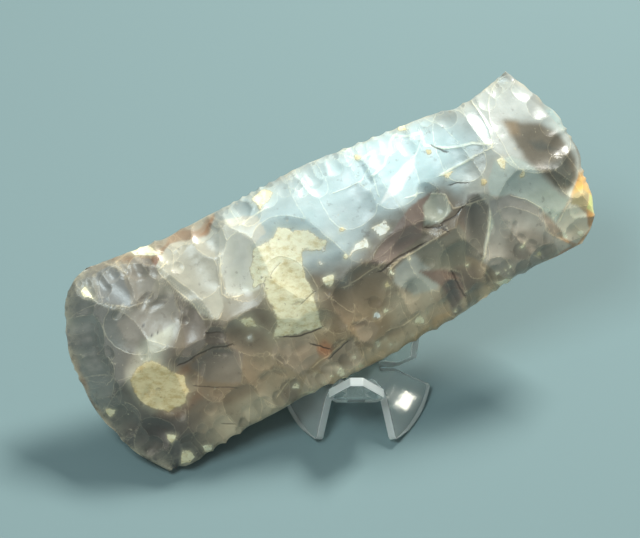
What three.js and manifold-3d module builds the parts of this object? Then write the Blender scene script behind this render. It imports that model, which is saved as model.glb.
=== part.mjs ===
// A knapped flint axe head resting on a clear acrylic stand. Millimetres, +Z up, front towards -Y.
import * as THREE from 'three';
import { mergeVertices } from 'three/addons/utils/BufferGeometryUtils.js';
import Module from 'manifold-3d';

const wasm = await Module();
wasm.setup();
const RAD = Math.PI / 180;

// ---- axe head: outline stations in its own plane (u along, v across) ----
const LOWER_EDGE = [
  [-76, -31.6], [-66, -33.0], [-40, -31.6], [-12, -32.8], [18, -33.1], [46, -31.0], [72, -31.2],
];
const UPPER_EDGE = [
  [-68, 36.6], [-50, 34.3], [-28, 32.9], [-5, 33.0], [20, 31.2], [48, 27.4], [62, 25.6], [76, 28.0],
];
const CUTTING_END = [
  [-76, -31.6], [-83.6, -18.5], [-87.0, -2], [-86.2, 13], [-81.6, 26], [-75.5, 34], [-68, 36.6],
];
const BUTT_END = [
  [72, -31.2], [79.8, -25.4], [82.9, -14], [84.9, -3], [84.2, 8], [80.4, 18.6], [76, 28.0],
];

const FRONT_THICK = 13.2;
const BACK_THICK = 11.8;
const CROSS_POWER = 2.3;
const CROSS_SHAPE = 0.82;
const CUTTING_TAPER = 17;
const BUTT_TAPER = 7.5;
const TAPER_LENGTH = 160;
const SCAR_LIMIT = 0.62;
const SCAR_NEAR_SLOPE = 0.8;
const EDGE_WAVE = 0.7;
const EDGE_WAVE_COUNT = 9;
const EDGE_WAVE_SLANT = 2;
const EDGE_WAVE_POWER = 6;
const CELLS_ALONG = 76;
const CELLS_ACROSS = 24;
const EDGE_CROWDING = 0.12;
const AXE_COLOUR = 0x8b8078;
const AXE_ROUGHNESS = 0.4;

// ---- axe head: larger flake scars [u, v, heading, half length, half width, depth] ----
const FRONT_SCARS = [
  [71, 13, -70, 19, 12, 2.6],
  [65, -17, 120, 17, 13, 3.0],
  [38, 13, -80, 19, 14, 2.2],
  [12, 17, -75, 20, 13, 2.0],
  [-8, 8, -60, 15, 11, 1.6],
  [-33, 19, -65, 18, 13, 2.4],
  [-54, 17, -50, 17, 11, 2.1],
  [-74, 14, -12, 13, 12, 1.9],
  [-73, -12, 20, 15, 12, 2.0],
  [-52, -16, 75, 18, 11, 2.3],
  [-32, -14, 95, 17, 10, 2.0],
  [-16, -21, 80, 13, 9, 2.2],
  [4, -18, 100, 16, 10, 2.2],
  [22, -17, 85, 16, 9, 2.1],
  [35, -22, 95, 12, 8, 2.8],
  [47, -14, 100, 15, 8, 2.2],
];
const BACK_SCARS = [
  [66, 10, -80, 18, 13, 2.4],
  [62, -16, 95, 17, 13, 2.4],
  [34, 14, -90, 20, 14, 2.2],
  [30, -16, 90, 18, 12, 2.2],
  [2, 15, -85, 19, 14, 2.2],
  [4, -17, 92, 18, 12, 2.3],
  [-28, 16, -95, 19, 13, 2.1],
  [-26, -15, 86, 18, 13, 2.4],
  [-56, 15, -70, 18, 13, 2.1],
  [-58, -14, 70, 17, 13, 2.2],
  [-78, 0, 0, 13, 14, 1.6],
];

// ---- axe head: its lean on the stand ----
const AXIS_RISE = 17.0;
const AXIS_TURN = 23.5;
const FACE_ELEVATION = 42.0;
const AXE_PLACE = [-6.8, 15.1, 45.15];

// ---- stand: a slit acrylic disc with three legs bent down and three prongs bent up ----
const SHEET = 3.0;
const HUB_TOP = 15.0;
const LEG_RADIUS = 28.0;
const LEG_FOLD = 9.5;
const LEG_BEND = 55.0;
const LEG_AZIMUTHS = [63, 180, 297];
const PRONG_RADIUS = 27.5;
const PRONG_FOLD = 10.2;
const PRONGS = [[0, 73], [120, 50], [240, 50]];
const PRONG_SHOULDER = 17.5;
const PRONG_SHOULDER_HALF = 9.0;
const PRONG_TIP_HALF = 2.0;
const BEND_RADIUS = 4.0;
const HUB_RADIUS = 8.6;
const SLIT = 1.6;
const PETAL_HALF_ANGLE = 30.0;
const PETAL_OVERLAP = 3.0;
const PETAL_ROWS = 14;
const PETAL_COLUMNS = 5;
const LEG_RIM_HALF_ANGLE = 26.0;
const RING_STEPS = 36;
const TABLE_CUT = [200, 200, 20];
const STAND_COLOUR = 0xdfe9ea;
const STAND_ROUGHNESS = 0.08;
const WELD = 1e-5;

/** Smooth curve value through short station lists, by Catmull-Rom spans. */
function curvePoint(stations, t) {
  const spans = stations.length - 1;
  const at = Math.min(Math.floor(t * spans), spans - 1);
  const f = t * spans - at;
  const get = (i) => stations[Math.max(0, Math.min(spans, i))];
  const [p0, p1, p2, p3] = [get(at - 1), get(at), get(at + 1), get(at + 2)];
  return [0, 1].map((k) => 0.5 * (2 * p1[k] + (p2[k] - p0[k]) * f
    + (2 * p0[k] - 5 * p1[k] + 4 * p2[k] - p3[k]) * f * f
    + (3 * p1[k] - p0[k] - 3 * p2[k] + p3[k]) * f * f * f));
}

/** Plan point for patch parameters a (cutting end to butt) and b (lower edge to upper edge). */
function planPoint(a, b) {
  const low = curvePoint(LOWER_EDGE, a);
  const up = curvePoint(UPPER_EDGE, a);
  const left = curvePoint(CUTTING_END, b);
  const right = curvePoint(BUTT_END, b);
  return [0, 1].map((k) => {
    const corners = (1 - a) * (1 - b) * CUTTING_END[0][k] + a * (1 - b) * BUTT_END[0][k]
      + (1 - a) * b * CUTTING_END.at(-1)[k] + a * b * BUTT_END.at(-1)[k];
    return (1 - b) * low[k] + b * up[k] + (1 - a) * left[k] + a * right[k] - corners;
  });
}

/** Unscarred half thickness share, zero on the outline. */
function bodyShare(a, b) {
  const across = (1 - Math.abs(2 * b - 1) ** CROSS_POWER) ** CROSS_SHAPE;
  const fromCutting = 1 - Math.exp(-(a * TAPER_LENGTH) / CUTTING_TAPER);
  const fromButt = 1 - Math.exp(-((1 - a) * TAPER_LENGTH) / BUTT_TAPER);
  return across * fromCutting * fromButt;
}

/** Depth of the deepest bowl over a plan point: a shallow floor with a steeper far wall. */
function scarDepth(scars, u, v) {
  return scars.reduce((deepest, [su, sv, heading, half, wide, depth]) => {
    const c = Math.cos(heading * RAD);
    const s = Math.sin(heading * RAD);
    const p = ((u - su) * c + (v - sv) * s) / half;
    const q = (-(u - su) * s + (v - sv) * c) / wide;
    const bowl = p > 0 ? 1 - p ** 4 - q * q : 1 - SCAR_NEAR_SLOPE * p * p - q * q;
    return Math.max(deepest, depth * bowl);
  }, 0);
}

/** Height of one face over the axe's middle plane. */
function faceHeight(thick, scars, a, b, plan) {
  const body = thick * bodyShare(a, b);
  const cut = scarDepth(scars, plan[0], plan[1]);
  const room = SCAR_LIMIT * body;
  return body - (room > 0 ? room * Math.tanh(cut / room) : 0);
}

/** Sideways wander of the edge where the two faces meet. */
function edgeWave(a, b) {
  const fade = Math.abs(2 * b - 1) ** EDGE_WAVE_POWER;
  return EDGE_WAVE * fade * Math.sin(2 * Math.PI * EDGE_WAVE_COUNT * a + EDGE_WAVE_SLANT * b);
}

/** Patch parameter across the axe for column j, closer set near the edges. */
function acrossParameter(j) {
  const turn = EDGE_CROWDING + (1 - 2 * EDGE_CROWDING) * (j / CELLS_ACROSS);
  return 0.5 - 0.5 * Math.cos(Math.PI * turn) / Math.cos(EDGE_CROWDING * Math.PI);
}

/** Indexed geometry from flat position and index lists. */
function indexedGeometry(positions, indices) {
  const geometry = new THREE.BufferGeometry();
  geometry.setAttribute('position', new THREE.Float32BufferAttribute(positions, 3));
  geometry.setIndex(indices);
  return geometry;
}

/** The axe head in its own frame: two height fields that share one outline. */
function axeGeometry() {
  const points = [];
  const faces = [];
  const stride = CELLS_ACROSS + 1;
  const total = (CELLS_ALONG + 1) * stride;
  const isRim = (i, j) => i === 0 || j === 0 || i === CELLS_ALONG || j === CELLS_ACROSS;
  for (const [side, thick, scars] of [[1, FRONT_THICK, FRONT_SCARS], [-1, BACK_THICK, BACK_SCARS]]) {
    for (let i = 0; i <= CELLS_ALONG; i += 1) {
      for (let j = 0; j <= CELLS_ACROSS; j += 1) {
        const a = i / CELLS_ALONG;
        const b = acrossParameter(j);
        const plan = planPoint(a, b);
        const height = isRim(i, j) ? 0 : side * faceHeight(thick, scars, a, b, plan);
        points.push([plan[0], plan[1], height + edgeWave(a, b)]);
      }
    }
  }
  for (let i = 0; i < CELLS_ALONG; i += 1) {
    for (let j = 0; j < CELLS_ACROSS; j += 1) {
      const corners = [[i, j], [i + 1, j], [i + 1, j + 1], [i, j + 1]];
      const front = corners.map(([m, n]) => m * stride + n);
      const back = corners.map(([m, n]) => m * stride + n + (isRim(m, n) ? 0 : total));
      faces.push([front[0], front[1], front[2]], [front[0], front[2], front[3]]);
      faces.push([back[0], back[2], back[1]], [back[0], back[3], back[2]]);
    }
  }
  return solidGeometry(asSolid(indexedGeometry(points.flat(), faces.flat())));
}

/** Place of the axe head: long axis rising and turned away, face leaning back. */
function axeMatrix() {
  const along = new THREE.Vector3(
    Math.cos(AXIS_RISE * RAD) * Math.cos(AXIS_TURN * RAD),
    Math.cos(AXIS_RISE * RAD) * Math.sin(AXIS_TURN * RAD),
    Math.sin(AXIS_RISE * RAD),
  );
  const towards = new THREE.Vector3(0, -Math.cos(FACE_ELEVATION * RAD), Math.sin(FACE_ELEVATION * RAD));
  const across = towards.cross(along).normalize();
  const normal = along.clone().cross(across);
  const matrix = new THREE.Matrix4().makeBasis(along, across, normal);
  return matrix.setPosition(...AXE_PLACE);
}

/** Manifold solid from a closed mesh. */
function asSolid(geometry) {
  const clean = geometry.clone();
  clean.deleteAttribute('normal');
  clean.deleteAttribute('uv');
  const merged = mergeVertices(clean, WELD);
  return new wasm.Manifold(new wasm.Mesh({
    numProp: 3,
    vertProperties: Float32Array.from(merged.attributes.position.array),
    triVerts: Uint32Array.from(merged.index.array),
  }));
}

/** Plain geometry back from a manifold solid. */
function solidGeometry(solid) {
  const mesh = solid.getMesh();
  return indexedGeometry(Array.from(mesh.vertProperties), Array.from(mesh.triVerts));
}

/** Half width of a petal at a flat radius. */
function sectorHalf(radius) {
  return radius * Math.tan(PETAL_HALF_ANGLE * RAD) - SLIT;
}

/** Flat outline of a leg: full sector with a round rim. */
function legPlan(s, q) {
  const rimHalf = LEG_RADIUS * Math.sin(LEG_RIM_HALF_ANGLE * RAD);
  const inner = HUB_RADIUS - PETAL_OVERLAP;
  const rim = Math.sqrt(LEG_RADIUS ** 2 - (q * rimHalf) ** 2);
  const radius = inner + (rim - inner) * s;
  const half = Math.min(sectorHalf(radius), rimHalf);
  return [radius, q * (s === 1 ? rimHalf : half)];
}

/** Flat outline of a prong: widening to its shoulder, then pointed to a blunt tip. */
function prongPlan(s, q) {
  const inner = HUB_RADIUS - PETAL_OVERLAP;
  const radius = inner + (PRONG_RADIUS - inner) * s;
  const share = Math.max(0, (radius - PRONG_SHOULDER) / (PRONG_RADIUS - PRONG_SHOULDER));
  const pointed = PRONG_SHOULDER_HALF + (PRONG_TIP_HALF - PRONG_SHOULDER_HALF) * share;
  return [radius, q * Math.min(sectorHalf(radius), pointed)];
}

/** Bends a flat sheet point about a fold line: flat, then an arc, then straight. */
function bend(radius, height, fold, angle) {
  const turn = angle * RAD;
  const past = Math.max(0, radius - fold);
  const arc = Math.min(past, BEND_RADIUS * Math.abs(turn));
  const here = Math.sign(turn) * arc / BEND_RADIUS;
  const straight = past - arc;
  const out = Math.min(radius, fold) + BEND_RADIUS * Math.sin(Math.abs(here)) + straight * Math.cos(here);
  const up = Math.sign(turn) * BEND_RADIUS * (1 - Math.cos(here)) + straight * Math.sin(here);
  return [out - height * Math.sin(here), up + height * Math.cos(here)];
}

/** One bent petal as a closed slab. */
function petalSolid(plan, fold, angle, azimuth) {
  const slab = new THREE.BoxGeometry(1, 2, SHEET, PETAL_ROWS, PETAL_COLUMNS, 1);
  const position = slab.attributes.position;
  for (let i = 0; i < position.count; i += 1) {
    const [radius, side] = plan(position.getX(i) + 0.5, position.getY(i));
    const [out, up] = bend(radius, position.getZ(i), fold, angle);
    position.setXYZ(i, out, side, up);
  }
  slab.rotateZ((azimuth - 90) * RAD);
  slab.translate(0, 0, HUB_TOP - SHEET / 2);
  return asSolid(slab);
}

/** The whole stand: hub disc, legs and prongs joined, feet ground flat on the table plane. */
function standGeometry() {
  const hub = new THREE.CylinderGeometry(HUB_RADIUS, HUB_RADIUS, SHEET, RING_STEPS);
  hub.rotateX(Math.PI / 2);
  hub.translate(0, 0, HUB_TOP - SHEET / 2);
  const legs = LEG_AZIMUTHS.map((azimuth) => petalSolid(legPlan, LEG_FOLD, -LEG_BEND, azimuth));
  const prongs = PRONGS.map(([azimuth, angle]) => petalSolid(prongPlan, PRONG_FOLD, angle, azimuth));
  const joined = [...legs, ...prongs].reduce((sum, petal) => sum.add(petal), asSolid(hub));
  const below = new THREE.BoxGeometry(...TABLE_CUT);
  below.translate(0, 0, -TABLE_CUT[2] / 2);
  return solidGeometry(joined.subtract(asSolid(below)));
}

const axe = new THREE.Mesh(
  axeGeometry().applyMatrix4(axeMatrix()),
  new THREE.MeshStandardMaterial({ color: AXE_COLOUR, roughness: AXE_ROUGHNESS }),
);
axe.name = 'flint_axe';

const stand = new THREE.Mesh(
  standGeometry(),
  new THREE.MeshStandardMaterial({ color: STAND_COLOUR, roughness: STAND_ROUGHNESS }),
);
stand.name = 'acrylic_stand';

const part = new THREE.Group();
part.name = 'stone_axe_on_stand';
part.add(axe, stand);
const middle = new THREE.Box3().setFromObject(part).getCenter(new THREE.Vector3());
part.children.forEach((piece) => piece.geometry.translate(-middle.x, -middle.y, 0));

export default part;
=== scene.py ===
"""Looks of a knapped flint axe head that rests on a clear acrylic stand."""

import logging
import math
from dataclasses import dataclass, field, replace
from enum import Enum

import bpy
import numpy as np
from mathutils import Matrix, Vector


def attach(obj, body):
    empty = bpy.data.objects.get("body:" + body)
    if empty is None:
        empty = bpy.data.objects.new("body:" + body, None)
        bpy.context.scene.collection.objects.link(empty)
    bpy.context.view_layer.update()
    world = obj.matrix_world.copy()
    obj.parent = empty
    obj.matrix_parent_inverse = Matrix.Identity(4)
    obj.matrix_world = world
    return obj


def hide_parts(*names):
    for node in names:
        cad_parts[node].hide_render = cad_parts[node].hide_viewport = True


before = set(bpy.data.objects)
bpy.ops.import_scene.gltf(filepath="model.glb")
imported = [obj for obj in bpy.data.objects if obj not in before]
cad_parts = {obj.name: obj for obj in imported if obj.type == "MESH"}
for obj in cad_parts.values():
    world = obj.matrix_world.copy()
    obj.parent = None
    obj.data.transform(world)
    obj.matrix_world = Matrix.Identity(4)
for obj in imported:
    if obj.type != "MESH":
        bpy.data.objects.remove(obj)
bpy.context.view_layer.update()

log = logging.getLogger("scene")
MM = 0.001
LATTICE = 97
LATTICE_SHIFT = 500.0
OCTAVE_TOTAL = 1.4


class Face(Enum):
    """The two broad faces of the axe."""

    FRONT = 1
    BACK = -1


class Side(Enum):
    """Which long edge a row of flake scars is struck from."""

    LOWER = 1
    UPPER = -1


# ---------------------------------------------------------------- curves and noise


def curve_points(stations: np.ndarray, t: np.ndarray) -> np.ndarray:
    """Catmull-Rom curve through a short station list.

    Args:
        stations: (n, 2) stations in mm.
        t: Parameters from 0 to 1.

    Returns:
        Points with the shape of t and a last axis of 2.
    """
    spans = len(stations) - 1
    at = np.minimum(np.floor(t * spans).astype(int), spans - 1)
    f = (t * spans - at)[..., None]
    p0, p1, p2, p3 = (stations[np.clip(at + k, 0, spans)] for k in (-1, 0, 1, 2))
    return 0.5 * (
        2 * p1
        + (p2 - p0) * f
        + (2 * p0 - 5 * p1 + 4 * p2 - p3) * f**2
        + (3 * p1 - p0 - 3 * p2 + p3) * f**3
    )


def value_noise(u: np.ndarray, v: np.ndarray, cell: float, seed: int) -> np.ndarray:
    """Smooth lattice noise from -1 to 1 with one knot every `cell` mm.

    Args:
        u: Plan coordinate along the axe, mm.
        v: Plan coordinate across the axe, mm.
        cell: Lattice spacing, mm.
        seed: Seed of the lattice.

    Returns:
        Noise with the shape of u.
    """
    lattice = np.random.default_rng(seed).uniform(-1, 1, (LATTICE, LATTICE))
    x, y = u / cell + LATTICE_SHIFT, v / cell + LATTICE_SHIFT
    i, j = np.floor(x).astype(int), np.floor(y).astype(int)
    fx, fy = x - i, y - j
    fx, fy = fx * fx * (3 - 2 * fx), fy * fy * (3 - 2 * fy)
    left, right, near, far = i % LATTICE, (i + 1) % LATTICE, j % LATTICE, (j + 1) % LATTICE
    low = lattice[left, near] * (1 - fx) + lattice[right, near] * fx
    high = lattice[left, far] * (1 - fx) + lattice[right, far] * fx
    return low * (1 - fy) + high * fy


def fractal(u: np.ndarray, v: np.ndarray, cell: float, seed: int, octaves: int = 4) -> np.ndarray:
    """Sum of halving noise octaves.

    Args:
        u: Plan coordinate along the axe, mm.
        v: Plan coordinate across the axe, mm.
        cell: Largest lattice spacing, mm.
        seed: First seed.
        octaves: Number of octaves.

    Returns:
        Noise of about -1 to 1.
    """
    parts = [value_noise(u, v, cell / 2**k, seed + k) / 2**k for k in range(octaves)]
    return sum(parts) / OCTAVE_TOTAL


def smooth_step(x: np.ndarray, low: float, high: float) -> np.ndarray:
    """Smooth ramp from 0 at `low` to 1 at `high`.

    Args:
        x: Values.
        low: Start of the ramp.
        high: End of the ramp.

    Returns:
        Ramp values.
    """
    t = np.clip((x - low) / (high - low), 0, 1)
    return t * t * (3 - 2 * t)


# ---------------------------------------------------------------- flint: shape


NEAR_SLOPE = 0.8
RIPPLE_SHARE = 0.4
RIPPLE_REACH = 15.0
RIPPLE_COUNT = 6.0
RIPPLE_CROWDING = 0.8
RIPPLE_LIMIT = -0.2


@dataclass(frozen=True)
class Scar:
    """One flake scar: a shallow bowl with a steep far wall.

    Args:
        u: Centre along the axe, mm.
        v: Centre across the axe, mm.
        heading: Direction the flake ran, degrees from +u.
        half: Half length, mm.
        wide: Half width, mm.
        depth: Depth at the centre, mm.
        ripple: Height of the rings about the struck point, mm.
    """

    u: float
    v: float
    heading: float
    half: float
    wide: float
    depth: float
    ripple: float = 0.0

    def bowl(self, u: np.ndarray, v: np.ndarray) -> np.ndarray:
        """Depth of the bowl, negative outside it.

        Args:
            u: Plan coordinate along the axe, mm.
            v: Plan coordinate across the axe, mm.

        Returns:
            Depth in mm.
        """
        c, s = math.cos(math.radians(self.heading)), math.sin(math.radians(self.heading))
        along = (u - self.u) * c + (v - self.v) * s
        p, q = along / self.half, (-(u - self.u) * s + (v - self.v) * c) / self.wide
        shape = np.where(p > 0, 1 - p**4 - q * q, 1 - NEAR_SLOPE * p * p - q * q)
        deep = self.depth * shape
        if self.ripple:
            reach = np.hypot(along + self.half, q * self.wide)
            rings = np.sin(2 * math.pi * (reach / RIPPLE_REACH) ** RIPPLE_CROWDING * RIPPLE_COUNT)
            deep = deep + RIPPLE_SHARE * self.ripple * rings * (shape > RIPPLE_LIMIT)
        return deep


FRONT_MAIN = (
    Scar(71, 13, -70, 19, 12, 2.6, 0.02),
    Scar(65, -17, 120, 17, 13, 3.0, 0.03),
    Scar(38, 13, -80, 19, 14, 2.2, 0.03),
    Scar(12, 17, -75, 20, 13, 2.0, 0.03),
    Scar(-8, 8, -60, 15, 11, 1.6, 0.02),
    Scar(-33, 19, -65, 18, 13, 2.4, 0.03),
    Scar(-54, 17, -50, 17, 11, 2.1, 0.03),
    Scar(-74, 14, -12, 13, 12, 1.9, 0.03),
    Scar(-73, -12, 20, 15, 12, 2.0, 0.03),
    Scar(-52, -16, 75, 18, 11, 2.3, 0.03),
    Scar(-32, -14, 95, 17, 10, 2.0, 0.03),
    Scar(-16, -21, 80, 13, 9, 2.2, 0.03),
    Scar(4, -18, 100, 16, 10, 2.2, 0.03),
    Scar(22, -17, 85, 16, 9, 2.1, 0.03),
    Scar(35, -22, 95, 12, 8, 2.8, 0.04),
    Scar(47, -14, 100, 15, 8, 2.2, 0.03),
)
BACK_MAIN = (
    Scar(66, 10, -80, 18, 13, 2.4, 0.03),
    Scar(62, -16, 95, 17, 13, 2.4, 0.03),
    Scar(34, 14, -90, 20, 14, 2.2, 0.03),
    Scar(30, -16, 90, 18, 12, 2.2, 0.03),
    Scar(2, 15, -85, 19, 14, 2.2, 0.03),
    Scar(4, -17, 92, 18, 12, 2.3, 0.03),
    Scar(-28, 16, -95, 19, 13, 2.1, 0.03),
    Scar(-26, -15, 86, 18, 13, 2.4, 0.03),
    Scar(-56, 15, -70, 18, 13, 2.1, 0.03),
    Scar(-58, -14, 70, 17, 13, 2.2, 0.03),
    Scar(-78, 0, 0, 13, 14, 1.6, 0.03),
)
# Later and smaller scars of the front, from the cutting end to the butt.
FRONT_MEDIUM = (
    Scar(-84, -11, 15, 9, 6, 1.4, 0.03),
    Scar(-83, 8, -10, 8, 5, 1.2, 0.04),
    Scar(-79, 19, -20, 7, 6, 1.3, 0.04),
    Scar(-75, -20, 45, 7, 6, 1.4, 0.03),
    Scar(-65, 29, -55, 10, 6, 1.5, 0.03),
    Scar(-59, 14, -10, 12, 10, 1.2, 0.02),
    Scar(-56, -6, 60, 6, 6, 1.0, 0.02),
    Scar(-55, 24, -105, 8, 5, 1.3, 0.02),
    Scar(-49, 4, 50, 9, 5, 1.1, 0.02),
    Scar(-48, 28, -90, 5, 6, 1.2, 0.02),
    Scar(-48, -10, 70, 9, 8, 1.1, 0.03),
    Scar(-46, -24, 80, 7, 6, 1.4, 0.03),
    Scar(-44, -6, 150, 4, 2, 1.3),
    Scar(-43, 0, 150, 4, 3, 1.4),
    Scar(-40, 20, -110, 8, 8, 1.1, 0.03),
    Scar(-35, -24, 85, 6, 5, 1.3, 0.03),
    Scar(-34, -6, 130, 9, 5, 1.1),
    Scar(-30, 27, -100, 6, 5, 1.2, 0.04),
    Scar(-26, 14, -115, 10, 6, 1.2, 0.02),
    Scar(-22, -14, 90, 9, 6, 1.2, 0.03),
    Scar(-21, -25, 90, 6, 5, 1.4, 0.02),
    Scar(-16, 30, -85, 6, 4, 1.3, 0.03),
    Scar(-16, 0, -90, 11, 8, 0.8, 0.02),
    Scar(-10, -25, 80, 5, 5, 1.9, 0.02),
    Scar(-6, -10, 70, 8, 6, 1.2, 0.02),
    Scar(6, -11, 70, 9, 6, 1.0, 0.02),
    Scar(7, 28, -80, 7, 4, 1.0, 0.03),
    Scar(13, 20, -90, 12, 8, 0.9, 0.03),
    Scar(17, -21, 80, 7, 5, 1.0, 0.02),
    Scar(21, 24, -90, 8, 3, 1.1, 0.02),
    Scar(23, -3, 0, 11, 4, 1.5),
    Scar(26, -12, 90, 9, 6, 1.1, 0.02),
    Scar(28, 20, -95, 13, 8, 1.0, 0.04),
    Scar(28, -26, 80, 6, 4, 2.2, 0.04),
    Scar(35, 4, -90, 6, 4, 1.4),
    Scar(36, -30, 85, 5, 3, 1.6, 0.03),
    Scar(37, 25, -95, 6, 3, 1.2, 0.03),
    Scar(42, -14, -115, 11, 4, 1.5, 0.03),
    Scar(44, -26, 85, 6, 5, 1.3, 0.03),
    Scar(51, 15, -100, 11, 7, 1.0, 0.03),
    Scar(53, -20, 130, 11, 10, 1.3, 0.04),
    Scar(58, -31, 100, 8, 6, 1.3, 0.04),
    Scar(73, -24, 170, 8, 5, 1.5, 0.03),
    Scar(74, 10, -90, 15, 11, 1.2, 0.01),
    Scar(76, -6, -80, 11, 4, 0.9, 0.02),
)


ROW_START = -72.0
ROW_END = 74.0
LOWER_LINE = -32.0
UPPER_LINE = 33.0
UPPER_FALL = 0.085
UPPER_FALL_START = -5


@dataclass(frozen=True)
class ScarRow:
    """A row of like scars struck from one long edge.

    Args:
        side: Edge they are struck from.
        pitch: Mean spacing, mm.
        length: Mean half length, mm.
        width: Mean half width, mm.
        depth: Mean depth, mm.
        inset: How far the centres lie inside the edge, mm.
        seed: Seed of the jitter.
    """

    side: Side
    pitch: float
    length: float
    width: float
    depth: float
    inset: float
    seed: int

    def scars(self) -> list[Scar]:
        """The row as single scars, jittered along the edge.

        Returns:
            One scar for each step of the pitch.
        """
        rng = np.random.default_rng(self.seed)
        places = np.arange(ROW_START, ROW_END, self.pitch)
        jitter = rng.uniform(-1, 1, (len(places), 5))
        row = []
        for place, (a, b, c, d, e) in zip(places, jitter):
            u = place + 0.3 * self.pitch * a
            edge = LOWER_LINE
            if self.side is Side.UPPER:
                edge = UPPER_LINE - UPPER_FALL * max(0.0, u - UPPER_FALL_START)
            scale = 1 + 0.35 * b
            v = edge + self.side.value * (self.inset * scale + 0.5 * c)
            heading = self.side.value * 90.0 + 22.0 * d
            half, wide = self.length * scale, self.width * (1 + 0.25 * e)
            depth, ripple = self.depth * (1 + 0.2 * c), 0.012 * self.width
            row.append(Scar(u, v, heading, half, wide, depth, ripple))
        return row


END_HALF_WIDTH = 27.0
END_ROUNDING = 0.16


def end_scars(centre_u: float, reach: float, count: int, seed: int) -> list[Scar]:
    """Small scars struck inwards all round one end.

    Args:
        centre_u: Middle of the fan, mm along the axe.
        reach: Distance from the middle to the scars, mm, negative for the cutting end.
        count: Number of scars.
        seed: Seed of the jitter.

    Returns:
        The scars of one end.
    """
    rng = np.random.default_rng(seed)
    fan = []
    for step, (a, b, c) in zip(np.linspace(-1, 1, count), rng.uniform(-1, 1, (count, 3))):
        v = END_HALF_WIDTH * step
        u = centre_u + reach * (1 - END_ROUNDING * step * step)
        heading = math.degrees(math.atan2(-v * 0.5, -reach)) + 15 * a
        fan.append(Scar(u, v, heading, 5.0 + 1.6 * b, 3.6 + 0.8 * c, 0.7 + 0.2 * b, 0.03))
    return fan


def chips(count: int, low: tuple[float, float], high: tuple[float, float], seed: int) -> list[Scar]:
    """Small stray chips strewn over a rectangle of the face.

    Args:
        count: Number of chips.
        low: Least u and v, mm.
        high: Greatest u and v, mm.
        seed: Seed of the places.

    Returns:
        The chips.
    """
    rng = np.random.default_rng(seed)
    places = rng.uniform(low, high, (count, 2))
    jitter = rng.uniform(0, 1, (count, 3))
    return [
        Scar(u, v, 360 * a, 1.6 + 2.6 * b * b, 1.1 + 1.6 * c * c, 0.32 + 0.2 * b, 0.0)
        for (u, v), (a, b, c) in zip(places, jitter)
    ]


FRONT_ROWS = (
    ScarRow(Side.LOWER, 4.6, 4.4, 3.0, 1.1, 2.6, 13),
    ScarRow(Side.UPPER, 4.6, 3.6, 3.0, 0.9, 2.2, 14),
    ScarRow(Side.LOWER, 2.6, 1.9, 1.6, 0.9, 0.9, 15),
    ScarRow(Side.UPPER, 2.7, 1.7, 1.6, 0.8, 0.8, 16),
)
BACK_MEDIUM_ROWS = (
    ScarRow(Side.LOWER, 9.5, 9.0, 5.6, 1.4, 7.0, 21),
    ScarRow(Side.UPPER, 9.0, 9.0, 5.6, 1.4, 7.0, 22),
    ScarRow(Side.LOWER, 12.0, 8.0, 6.5, 1.1, 20.0, 25),
    ScarRow(Side.UPPER, 12.5, 8.0, 6.5, 1.1, 20.0, 26),
)
BACK_ROWS = (
    ScarRow(Side.LOWER, 4.6, 4.0, 2.8, 1.0, 2.4, 23),
    ScarRow(Side.UPPER, 4.6, 4.0, 2.8, 1.0, 2.2, 24),
)


@dataclass(frozen=True)
class PaintedLightStroke:
    """A thin line of painted light along a ridge, step or crack: a painted highlight or painted shade.

    Args:
        width: Half width, mm.
        strength: Greatest share.
        points: Corner points in plan, mm.
    """

    width: float
    strength: float
    points: tuple[tuple[float, float], ...]

    def offset(self, u: np.ndarray, v: np.ndarray) -> tuple[np.ndarray, np.ndarray]:
        """Distance to the line in half widths, and the side of the line each point is on.

        Args:
            u: Coordinate along, mm.
            v: Coordinate across, mm.

        Returns:
            Distance, and 1 or -1.
        """
        nearest, side = np.full_like(u, 1e9), np.ones_like(u)
        for (u0, v0), (u1, v1) in zip(self.points, self.points[1:]):
            du, dv = u1 - u0, v1 - v0
            t = np.clip(((u - u0) * du + (v - v0) * dv) / (du * du + dv * dv), 0, 1)
            away = np.hypot(u - u0 - t * du, v - v0 - t * dv)
            side = np.where(away < nearest, np.sign((u - u0) * dv - (v - v0) * du), side)
            nearest = np.minimum(nearest, away)
        return nearest / self.width, side
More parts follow.
